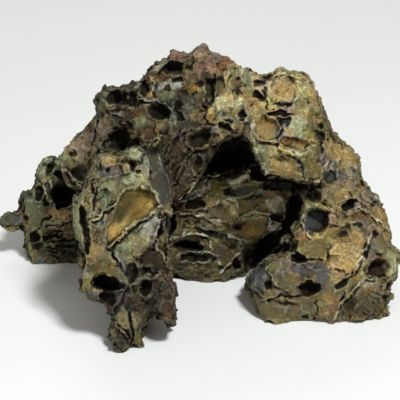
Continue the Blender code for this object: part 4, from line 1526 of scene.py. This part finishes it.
class Tint:
    """Works out the stone's colour at every vertex of its finished surface."""

    PALE = (FROST, PALE_GREY, PALE_GREEN, CREAM, RIDGE_HIGHLIGHT)
    DARK = (BLACK, CHARCOAL, UMBER)
    STRAY = (OCHRE, OLIVE, SLATE, MAUVE, CREAM, BROWN, GREY_GREEN, TAN)
    HOLLOW = 6.0  # patches at least this deep are tinted from their walls inward
    STRAYS = ((500.0, 21.0, 0.45), (900.0, 9.0, 0.5))  # offset, spacing and tint of the stray bowls

    def __init__(self, weathering: Weathering, surface: Surface) -> None:
        """Finds the places whose outlines the colours follow.

        Args:
            weathering: what pressed the surface.
            surface: the finished surface.
        """
        self.weathering = weathering
        self.grit = weathering.grit
        self.surface = surface
        self.seen = surface.seen
        self.spots = weathering.wander(surface)
        self.patchy = eased(self.grit.waves(surface.sites + 77.0, 6.0)[:, 0], -0.3, 0.3)
        self.clean_and_lit = np.zeros(len(surface.points))
        self.colours = self.ground()

    def ground(self) -> np.ndarray:
        """Blends the zones' colours.

        Returns:
            The colours, one to a row.
        """
        sites = self.surface.sites
        total = np.zeros(sites.shape)
        weights = np.full((len(sites), 1), TINY)
        mottle = self.grit.waves(sites + 20.0, 16.0, 2) * 9.0
        for zone in ZONES:
            place = np.array(self.surface.chart.place(*zone.at)) / MM
            weight = zone.weight(np.linalg.norm(sites + mottle - place, axis=1))[:, None]
            total += weight * zone.hue.linear()
            weights += weight
        return total / weights

    def cover(self, near: np.ndarray, hue: Hue, cover: np.ndarray) -> None:
        """Covers the places near a mark with its hue, and notes how far it holds off soil and painted shade.

        Args:
            near: the numbers of the places.
            hue: the hue.
            cover: how much of what is under it is covered at each.
        """
        self.colours[near] += (hue.linear() - self.colours[near]) * cover[:, None]
        # pale hues are held clear of soil and painted shade, so they read as lit; the ridge highlight most
        clean_and_lit = 1.6 if hue is RIDGE_HIGHLIGHT else 1.0 if hue in self.PALE else 0.0 if hue in self.DARK else 0.6
        self.clean_and_lit[near] += (clean_and_lit - self.clean_and_lit[near]) * cover

    def masses(self) -> None:
        """Tints each mass, with a soft border."""
        for mass in MASSES:
            near, distance = self.spots.depth(mass, 4.0)
            cover = mass.tint * self.seen[near] * eased(distance, -4.0, 4.0)
            self.colours[near] += (mass.hue.linear() - self.colours[near]) * cover[:, None]

    def strays(self) -> None:
        """Tints each random bowl with a stray hue, about as light as what is under it."""
        palette = np.array([hue.linear() for hue in self.STRAY])
        bent = self.weathering.bent(self.surface)
        for offset, spacing, tint in self.STRAYS:
            _, own = self.grit.bowls(bent + offset, spacing)
            stray = palette[(own * len(palette)).astype(int) % len(palette)]
            tone = self.colours.sum(axis=1) / stray.sum(axis=1) * (0.62 + 0.76 * (own * 9.7 % 1.0))
            self.colours += (stray * tone[:, None] - self.colours) * tint

    def patches(self) -> None:
        """Tints the patches, and paints highlight on the lips of the hollows among them."""
        for patch in PATCHES:
            near, distance = self.spots.depth(patch, 1.2)
            hollow = patch.sunk >= self.HOLLOW
            edge = (0.0, 3.0) if hollow else (-1.2, 1.2)
            cover = patch.tint * self.seen[near] * eased(distance, *edge)
            # painted shade: a hollow's hue thins toward its shallow side, darkest at its deepest
            if hollow and patch.tint < 1.0:
                cover *= 1.0 - 0.5 * self.spots.some(near).ramp(patch)
            self.cover(near, patch.hue, cover)
        # painted highlight: pale green on the lips, brightest opposite each hollow's deepest side
        for patch in PATCHES:
            if patch.sunk >= self.HOLLOW:
                near, lip = self.spots.brim(patch)
                cover = np.clip(lip * 1.4, 0.0, 1.0) * self.seen[near] * self.patchy[near] * 0.6
                self.cover(near, PALE_GREEN, cover)

    def marks(self) -> None:
        """Tints the marks: pits from within, the others with a soft border."""
        for mark in MARKS:
            spread = self.spots.spread(mark)
            low, high = (0.25, 0.95) if mark.sunk >= 4 else (0.6, 1.2)
            near = np.flatnonzero(spread < high)
            cover = mark.tint * self.seen[near] * (1.0 - eased(spread[near], low, high))
            self.cover(near, mark.hue, cover)

    def creases(self) -> None:
        """Tints the creases, and paints shadow into the undercut below each ridge."""
        ragged = self.weathering.ragged(self.surface)
        for crease in CREASES:
            near, distance, under = self.spots.ridge(crease, ragged)
            seen, patchy = self.seen[near], self.patchy[near]
            if crease.rise > 0:
                # painted shadow below each ridge
                cover = (1.0 - eased(under, 0.0, 1.3)) * 0.4 * seen * (1.0 - patchy * 0.6)
                self.cover(near, BLACK, cover)
            cover = (1.0 - eased(distance, 0.15, 0.85)) * crease.tint * seen * (0.5 + 0.5 * patchy)
            self.cover(near, crease.hue, cover)

    def dress(self) -> None:
        """Stores the tint, calm and shade attributes, and how far soil and painted shade are held off."""
        for layer in (self.masses, self.strays, self.patches, self.marks, self.creases):
            layer()
        self.surface.keep("tint", self.colours)
        self.surface.keep("clean_and_lit", self.clean_and_lit)
        self.surface.keep("calm", self.weathering.calm(self.surface, self.spots))
        self.surface.keep("shade", self.surface.shade())


class Wire:
    """A number or colour on its way through a material, with arithmetic that adds nodes."""

    def __init__(self, graph: "Graph", socket: bpy.types.NodeSocket) -> None:
        """Keeps the graph that the nodes are added to, and the socket that is read."""
        self.graph = graph
        self.socket = socket

    @property
    def plain(self) -> bool:
        """Returns whether this is a number, and not a colour or a vector."""
        return self.socket.type == "VALUE"

    def _worked(self, operation: str, *values: object) -> "Wire":
        """Adds a Math node, or a Vector Math node where a colour or vector takes part.

        Args:
            operation: what the node does.
            *values: its numbers and wires.

        Returns:
            A wire from the node.
        """
        wires = [value for value in values if isinstance(value, Wire)]
        if all(wire.plain for wire in wires):
            return self.graph.node("ShaderNodeMath", {"operation": operation}, dict(enumerate(values)))
        spread = [value if isinstance(value, Wire) else (value, value, value) for value in values]
        return self.graph.node("ShaderNodeVectorMath", {"operation": operation}, dict(enumerate(spread)))

    def __add__(self, other: object) -> "Wire":
        """Adds."""
        return self._worked("ADD", self, other)

    def __radd__(self, other: object) -> "Wire":
        """Adds to a number."""
        return self._worked("ADD", other, self)

    def __sub__(self, other: object) -> "Wire":
        """Takes away."""
        return self._worked("SUBTRACT", self, other)

    def __rsub__(self, other: object) -> "Wire":
        """Takes from a number."""
        return self._worked("SUBTRACT", other, self)

    def __mul__(self, other: object) -> "Wire":
        """Multiplies."""
        return self._worked("MULTIPLY", self, other)

    def __rmul__(self, other: object) -> "Wire":
        """Multiplies a number."""
        return self._worked("MULTIPLY", other, self)

    def eased(self, low: float, high: float) -> "Wire":
        """Returns 0 below low and 1 above high, with a smooth rise between them."""
        settings = {"interpolation_type": "SMOOTHSTEP"}
        return self.graph.node("ShaderNodeMapRange", settings, {0: self, 1: low, 2: high})

    def toward(self, colour: object, share: "Wire") -> "Wire":
        """Returns this colour, mixed toward another by a share from 0 to 1."""
        settings = {"data_type": "RGBA", "clamp_factor": True}
        return self.graph.node("ShaderNodeMix", settings, {"Factor": share, "A": self, "B": colour})


class Graph:
    """A material's nodes, added one by one."""

    def __init__(self, name: str) -> None:
        """Makes a material that holds only its Principled shader and its output.

        Args:
            name: the material's name.
        """
        self.material = bpy.data.materials.new(name)
        self.material.use_nodes = True
        self.nodes = self.material.node_tree.nodes
        self.shader = self.nodes["Principled BSDF"]

    def node(self, kind: str, settings: dict, inputs: dict, output: int | str = 0) -> Wire:
        """Adds a node.

        Args:
            kind: the node's type.
            settings: its own properties, set before its sockets.
            inputs: numbers, colours or wires, by socket name or number.
            output: the socket to read, by name or number.

        Returns:
            A wire from that socket.
        """
        node = self.nodes.new(kind)
        for name, value in settings.items():
            setattr(node, name, value)
        sockets = [socket for socket in node.inputs if socket.enabled]
        for key, value in inputs.items():
            socket = sockets[key] if isinstance(key, int) else next(s for s in sockets if s.name == key)
            self.feed(socket, value)
        outputs = [socket for socket in node.outputs if socket.enabled]
        found = outputs[output] if isinstance(output, int) else next(s for s in outputs if s.name == output)
        return Wire(self, found)

    def feed(self, socket: bpy.types.NodeSocket, value: object) -> None:
        """Links a wire to a socket, or sets the socket's own value.

        Args:
            socket: the socket.
            value: a wire, a number or a colour.
        """
        if isinstance(value, Wire):
            self.material.node_tree.links.new(value.socket, socket)
        elif socket.type == "RGBA" and len(value) == 3:
            socket.default_value = (*value, 1.0)
        else:
            socket.default_value = value

    def tinted(self, colour: Wire, tone: tuple[float, float, float]) -> Wire:
        """Returns a colour with each channel multiplied by its own number."""
        return self.node("ShaderNodeVectorMath", {"operation": "MULTIPLY"}, {0: colour, 1: tone})

    def scaled(self, colour: Wire, share: Wire) -> Wire:
        """Returns a colour multiplied by a number that varies."""
        return self.node("ShaderNodeVectorMath", {"operation": "SCALE"}, {0: colour, "Scale": share})

    def attribute(self, name: str, colour: bool = False) -> Wire:
        """Returns an attribute of the piece, as a number or as a colour."""
        output = "Color" if colour else "Fac"
        return self.node("ShaderNodeAttribute", {"attribute_name": name}, {}, output)


@dataclass(frozen=True)
class Scallops:
    """A net of small hollows in the finish: their depth, the lines between them, a random value each."""

    depth: Wire
    line: Wire
    own: Wire


@dataclass(frozen=True)
class Texture:
    """The patterns that the colour, the sheen and the bump of the finish share."""

    place: Wire
    calm: Wire
    rough: Wire
    blotch: Wire
    grain: Wire
    grit: Wire
    large: Scallops
    small: Scallops
    splinter: Wire


@dataclass(frozen=True)
class StoneFinish:
    """The stone's material: dry, matt and gritty.

    Its pits are dark with soil and painted shade, its edges pale with wear and painted highlight.
    """

    roughness: float = 0.86
    specular: float = 0.18
    soil_and_shade: Hue = BLACK
    pallor_and_highlight: Hue = FROST
    pallor_and_highlight_gain: Place = (1.85, 1.95, 2.4)
    warm: Place = (1.08, 1.0, 0.84)
    cool: Place = (0.92, 1.0, 1.1)
    cast: Place = (1.06, 1.02, 0.87)
    grains: Place = (9.0, 2.6, 0.9)  # how long blotches, grains and grit are, in mm
    scoops: Point = (11.0, 4.6)  # how wide large and small scallops are, in mm
    splinters: float = 2.0
    bump: float = 1.6  # the height that the bump stands for, in mm

    def speckle(self, graph: Graph, place: Wire, size: float, detail: float = 3.0) -> Wire:
        """Makes noise.

        Args:
            graph: the material.
            place: where the noise is read.
            size: how long its grains are, in millimetres.
            detail: how many times finer grains are added.

        Returns:
            A number from 0 to 1.
        """
        inputs = {"Vector": place, "Scale": 1.0 / (size * MM), "Detail": detail, "Roughness": 0.6}
        return graph.node("ShaderNodeTexNoise", {"noise_dimensions": "3D"}, inputs)

    def scallops(self, graph: Graph, place: Wire, size: float) -> Scallops:
        """Makes scallops that meet in sharp lines.

        Args:
            graph: the material.
            place: where they are read.
            size: how wide they are, in millimetres.

        Returns:
            The scallops.
        """
        inputs = {"Vector": place, "Scale": 1.0 / (size * MM)}
        depth = graph.node("ShaderNodeTexVoronoi", {"feature": "F1"}, inputs, "Distance")
        own = Wire(graph, depth.socket.node.outputs["Color"])
        rims = graph.node("ShaderNodeTexVoronoi", {"feature": "DISTANCE_TO_EDGE"}, inputs, "Distance")
        return Scallops(depth, rims.eased(0.7 / size, 0.0), own)

    def facets(self, graph: Graph, place: Wire, size: float) -> Wire:
        """Makes tilted chips.

        Args:
            graph: the material.
            place: where they are read.
            size: how wide they are, in millimetres.

        Returns:
            Their height, -0.5 to 0.5.
        """
        inputs = {"Vector": place, "Scale": 1.0 / (size * MM)}
        cell = graph.node("ShaderNodeTexVoronoi", {"feature": "F1"}, inputs, "Position")
        tilt = Wire(graph, cell.socket.node.outputs["Color"]) - 0.5
        apart = (place - cell) * (1.0 / (size * MM))
        return graph.node("ShaderNodeVectorMath", {"operation": "DOT_PRODUCT"}, {0: apart, 1: tilt}, "Value")

    def texture(self, graph: Graph) -> Texture:
        """Makes the patterns.

        Args:
            graph: the material.

        Returns:
            The patterns, read at Object coordinates.
        """
        place = graph.node("ShaderNodeTexCoord", {}, {}, "Object")
        calm = graph.attribute("calm")
        bend = graph.node("ShaderNodeTexNoise", {}, {"Vector": place, "Scale": 95.0, "Detail": 4.0}, "Color")
        bent = place + (bend - 0.5) * 0.014
        return Texture(
            place=place,
            calm=calm,
            rough=1.0 - calm * calm * 0.8,
            blotch=self.speckle(graph, place, self.grains[0]),
            grain=self.speckle(graph, place, self.grains[1]),
            grit=self.speckle(graph, place, self.grains[2], 2.0),
            large=self.scallops(graph, bent, self.scoops[0]),
            small=self.scallops(graph, bent + 0.4, self.scoops[1]),
            splinter=self.facets(graph, bent + 0.7, self.splinters),
        )

    def mottled(self, graph: Graph, texture: Texture) -> Wire:
        """Varies the tint of the piece from warm to cool and from dark to light, partly as painted shade.

        Args:
            graph: the material.
            texture: its patterns.

        Returns:
            The colour.
        """
        colour = graph.attribute("tint", colour=True)
        warmth = self.speckle(graph, texture.place + 0.3, 17.0)
        colour = colour.toward(graph.tinted(colour, self.warm), warmth.eased(0.46, 0.66))
        colour = colour.toward(graph.tinted(colour, self.cool), warmth.eased(0.52, 0.34) * 0.8)
        colour = graph.tinted(colour, self.cast)
        large, small = texture.large, texture.small
        # painted shade and light: small scallops darker in the middle, splinters lighter on their higher side
        light = (large.own - 0.5) * 0.4 + (small.own - 0.5) * 0.4 + (small.depth - 0.45) * 0.5
        light = light + (texture.grain - 0.5) * 0.55 + texture.splinter * 0.4 + (texture.blotch - 0.5) * 0.4
        return graph.scaled(colour, 1.0 + light * texture.rough + (texture.grit - 0.5) * 2.5)

    def paled_and_highlit(self, graph: Graph, texture: Texture, colour: Wire) -> Wire:
        """Lays painted highlight on the lines between scallops, and wear and painted highlight on the edges.

        Some of the grit gets pale flecks.

        Args:
            graph: the material.
            texture: its patterns.
            colour: the colour under the bloom.

        Returns:
            The colour.
        """
        grain, rough = texture.grain, texture.rough
        # painted highlight on the lines between scallops
        lines = texture.large.line * texture.blotch.eased(0.46, 0.58)
        lines = lines + texture.small.line * grain.eased(0.45, 0.6) * 0.6
        # wear and painted highlight on the sharp edges
        wear_and_painted_light = (graph.attribute("edge") * (0.5 + grain)).eased(0.2, 0.7)
        pale_flecks_and_highlight = texture.grit.eased(0.62, 0.7) * rough * 0.35 + wear_and_painted_light * 0.6 + lines * rough * 0.7
        pallor_and_highlight = graph.tinted(colour, self.pallor_and_highlight_gain).toward(self.pallor_and_highlight.linear().tolist(), 0.15)
        return colour.toward(pallor_and_highlight, pale_flecks_and_highlight)

    def darkened_by_soil_and_shade(self, graph: Graph, texture: Texture, colour: Wire) -> Wire:
        """Lays dark soil and painted shade in the pits, and paints shade over what is enclosed.

        Args:
            graph: the material.
            texture: its patterns.
            colour: the colour under the dirt.

        Returns:
            The colour.
        """
        soil_and_shade = self.soil_and_shade.linear().tolist()
        hollow_soil_and_shade, clean_and_lit, shade = (graph.attribute(name) for name in ("hollow_soil_and_shade", "clean_and_lit", "shade"))
        specks = texture.grit.eased(0.4, 0.32) * texture.rough * 0.6
        specks = specks + texture.large.line * texture.blotch.eased(0.5, 0.4) * texture.rough * 0.6
        colour = colour.toward(soil_and_shade, specks)
        # soil and painted shade in the hollows and creases
        soil_and_shade_cover = (hollow_soil_and_shade * (0.4 + texture.grain * 1.2) * (1.0 - clean_and_lit * 0.4)).eased(0.1, 0.75) * 0.75
        colour = colour.toward(soil_and_shade, soil_and_shade_cover)
        # painted shade over what is enclosed, less where a hue holds it off
        colour = graph.scaled(colour, 1.16 - shade * (0.6 - clean_and_lit * 0.3))
        return colour.toward(soil_and_shade, shade.eased(0.18, 0.95) * (0.94 - clean_and_lit * 0.55))

    def bumped(self, graph: Graph, texture: Texture) -> Wire:
        """Raises the patterns.

        Args:
            graph: the material.
            texture: its patterns.

        Returns:
            The normal.
        """
        height = texture.large.depth * 1.2 + texture.small.depth * 0.9 + texture.grain * 0.6
        height = height + texture.grit * 1.1 + texture.splinter * 0.5
        height = height * texture.rough + texture.blotch * 0.5
        inputs = {"Strength": 0.9, "Distance": self.bump * MM, "Height": height}
        return graph.node("ShaderNodeBump", {}, inputs)

    def material(self) -> bpy.types.Material:
        """Builds the material.

        Returns:
            The material, which reads the piece's attributes and Object coordinates.
        """
        graph = Graph(SLOT)
        texture = self.texture(graph)
        colour = self.paled_and_highlit(graph, texture, self.mottled(graph, texture))
        graph.feed(graph.shader.inputs["Base Color"], self.darkened_by_soil_and_shade(graph, texture, colour))
        sheen = self.roughness - texture.calm * 0.18 + (texture.grain - 0.5) * 0.2
        graph.feed(graph.shader.inputs["Roughness"], sheen)
        graph.shader.inputs["Specular IOR Level"].default_value = self.specular
        graph.feed(graph.shader.inputs["Normal"], self.bumped(graph, texture))
        return graph.material


@dataclass(frozen=True)
class DragonStone:
    """The stone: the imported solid, copied, knobbed, weathered and coloured."""

    chart: Chart
    first_voxel: float = 2.3
    fine_voxel: float = 1.25
    most_triangles: int = 190_000
    favour: float = 0.0008  # how much the front is favoured when triangles are left out
    sharp: float = math.radians(32)

    @staticmethod
    def alone(piece: bpy.types.Object) -> None:
        """Selects the piece and nothing else, and makes it active.

        Args:
            piece: the piece.
        """
        bpy.ops.object.select_all(action="DESELECT")
        piece.select_set(True)
        bpy.context.view_layer.objects.active = piece

    def copied(self, node: bpy.types.Object) -> bpy.types.Object:
        """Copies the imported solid.

        Args:
            node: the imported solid, a mesh of loose triangles.

        Returns:
            A merged copy of it.
        """
        piece = bpy.data.objects.new("stone", node.data.copy())
        bpy.context.collection.objects.link(piece)
        self.alone(piece)
        bpy.ops.object.mode_set(mode="EDIT")
        bpy.ops.mesh.select_all(action="SELECT")
        bpy.ops.mesh.remove_doubles(threshold=0.00001)
        bpy.ops.object.mode_set(mode="OBJECT")
        return piece

    def knobbed(self, piece: bpy.types.Object) -> None:
        """Adds the lumps to the piece, each resting on the nearest part of the surface.

        Args:
            piece: the merged copy.
        """
        tree = Surface(piece, self.chart).tree
        lumps = []
        for lump in LUMPS:
            nearest = tree.find_nearest(self.chart.place(*lump.at))[0]
            depth = float(self.chart.read(np.array([nearest]))[2][0])
            middle = self.chart.place(lump.at[0], lump.at[1], depth)
            bpy.ops.mesh.primitive_ico_sphere_add(subdivisions=4, radius=1.0, location=(0, 0, 0))
            ball = bpy.context.active_object
            turn = Matrix.Rotation(math.radians(lump.roll), 4, "Z")
            size = Matrix.Diagonal((*(half * MM for half in lump.size), 1.0))
            ball.data.transform(Matrix.Translation(middle) @ self.chart.turn @ turn @ size)
            lumps.append(ball)
        self.alone(piece)
        for ball in lumps:
            ball.select_set(True)
        bpy.ops.object.join()

    def finished(self, piece: bpy.types.Object, kind: str, **settings: object) -> None:
        """Adds a modifier to the piece, and applies it.

        Args:
            piece: the stone.
            kind: the modifier's type.
            **settings: the modifier's own properties.
        """
        self.alone(piece)
        modifier = piece.modifiers.new(kind.lower(), kind)
        for name, value in settings.items():
            setattr(modifier, name, value)
        bpy.ops.object.modifier_apply(modifier=modifier.name)

    def wear_and_painted_light(self, piece: bpy.types.Object) -> None:
        """Stores two attributes while the piece's faces are all of one size.

        One holds soil and painted shade in the hollows, the other wear and painted highlight on the edges.

        Args:
            piece: the weathered stone.
        """
        surface = Surface(piece, self.chart, look=False)
        fine, broad = surface.relief()
        # soil and painted shade where the surface lies below its smoother copies
        hollow_soil_and_shade = eased(fine, 0.05, 0.7) * 0.6 + eased(broad, 0.4, 3.5) * 0.7
        surface.keep("hollow_soil_and_shade", np.clip(hollow_soil_and_shade, 0.0, 1.0))
        # wear and painted highlight on the sharp edges
        surface.keep("edge", eased(-fine, 0.05, 0.45))

    def thinned(self, piece: bpy.types.Object) -> None:
        """Leaves out triangles, more of them at the sides and back than at the front.

        Args:
            piece: the weathered stone, made of triangles.
        """
        seen = Surface(piece, self.chart).seen
        group = piece.vertex_groups.new(name="hidden")
        levels = np.round((1.0 - seen) * 4.0).astype(int)
        for level in range(5):
            group.add(np.flatnonzero(levels == level).tolist(), 0.5 + level / 8.0, "REPLACE")
        share = min(1.0, self.most_triangles / len(piece.data.polygons))
        self.finished(piece, "DECIMATE", ratio=share, vertex_group="hidden", vertex_group_factor=self.favour)
        piece.vertex_groups.clear()

    def build(self, node: bpy.types.Object) -> bpy.types.Object:
        """Makes the stone.

        Args:
            node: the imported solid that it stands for.

        Returns:
            The finished piece.
        """
        weathering = Weathering(self.chart)
        piece = self.copied(node)
        self.knobbed(piece)
        self.finished(piece, "REMESH", mode="VOXEL", voxel_size=self.first_voxel * MM)
        self.finished(piece, "SMOOTH", factor=0.5, iterations=3)
        LOG.info("coarse surface: %d vertices", len(piece.data.vertices))
        weathering.press_wide(piece)
        self.finished(piece, "REMESH", mode="VOXEL", voxel_size=self.fine_voxel * MM)
        LOG.info("fine surface: %d vertices", len(piece.data.vertices))
        weathering.press_fine(piece)
        self.wear_and_painted_light(piece)
        self.finished(piece, "TRIANGULATE")
        self.thinned(piece)
        LOG.info("weathered and thinned")
        Tint(weathering, Surface(piece, self.chart)).dress()
        LOG.info("coloured")
        piece.data.materials.clear()
        piece.data.materials.append(StoneFinish().material())
        self.alone(piece)
        bpy.ops.object.shade_smooth_by_angle(angle=self.sharp)
        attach(piece, "root")
        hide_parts(STONE)
        return piece


@dataclass(frozen=True)
class Studio:
    """The pale floor, the soft lights and the camera."""

    chart: Chart
    floor_size: float = 16.0
    floor_tone: Place = (0.85, 0.85, 0.84)
    floor_roughness: float = 0.9
    lamp_tone: Place = (0.95, 0.985, 1.0)
    room_tone: Place = (1.0, 0.94, 0.83)
    room_light: float = 0.2
    lens: float = 144.0
    sensor: float = 36.0

    def lit(self, name: str, place: Place, size: float, power: float) -> None:
        """Adds a square soft light that points at the stone.

        Args:
            name: the light's name.
            place: where it hangs, in metres.
            size: how wide it is, in metres.
            power: its power in watts.
        """
        light = bpy.data.lights.new(name, "AREA")
        light.color = self.lamp_tone
        light.size = size
        light.energy = power
        lamp = bpy.data.objects.new(name, light)
        lamp.location = place
        aim = Vector(self.chart.centre) - Vector(place)
        lamp.rotation_euler = aim.to_track_quat("-Z", "Y").to_euler()
        bpy.context.collection.objects.link(lamp)

    def floor(self) -> None:
        """Lays the pale floor."""
        bpy.ops.object.select_all(action="DESELECT")
        bpy.ops.mesh.primitive_plane_add(size=self.floor_size, location=(0, 0, 0))
        floor = bpy.context.active_object
        floor.name = "floor"
        graph = Graph("pale floor")
        graph.feed(graph.shader.inputs["Base Color"], self.floor_tone)
        graph.feed(graph.shader.inputs["Roughness"], self.floor_roughness)
        floor.data.materials.append(graph.material)

    def light(self) -> None:
        """Sets the lights and the room's own light."""
        self.lit("key", (0.8, -1.1, 2.4), 0.45, 71.0)
        self.lit("fill", (-0.9, -2.8, 0.8), 1.2, 15.0)
        self.lit("back", (-0.6, 2.2, 2.0), 1.6, 20.0)
        world = bpy.data.worlds.new("room")
        world.use_nodes = True
        inputs = world.node_tree.nodes["Background"].inputs
        inputs["Color"].default_value = (*self.room_tone, 1.0)
        inputs["Strength"].default_value = self.room_light
        bpy.context.scene.world = world
        bpy.context.scene.view_settings.view_transform = "Standard"

    def camera(self) -> None:
        """Sets the camera at the chart's apex."""
        camera = bpy.data.objects.new("camera", bpy.data.cameras.new("camera"))
        camera.data.lens = self.lens
        camera.data.sensor_width = self.sensor
        camera.matrix_world = Matrix.Translation(Vector(self.chart.apex)) @ self.chart.turn
        bpy.context.collection.objects.link(camera)
        bpy.context.scene.camera = camera

    def build(self) -> None:
        """Sets out the floor, the lights and the camera."""
        self.floor()
        self.light()
        self.camera()


def main() -> None:
    """Builds the stone and its setting, and reports both."""
    logging.basicConfig(level=logging.INFO, format="%(relativeCreated)d %(name)s: %(message)s")
    chart = Chart()
    piece = DragonStone(chart).build(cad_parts[STONE])
    LOG.info("stone: %d triangles", len(piece.data.polygons))
    Studio(chart).build()
    LOG.info("studio ready")


if __name__ == "__main__":
    main()
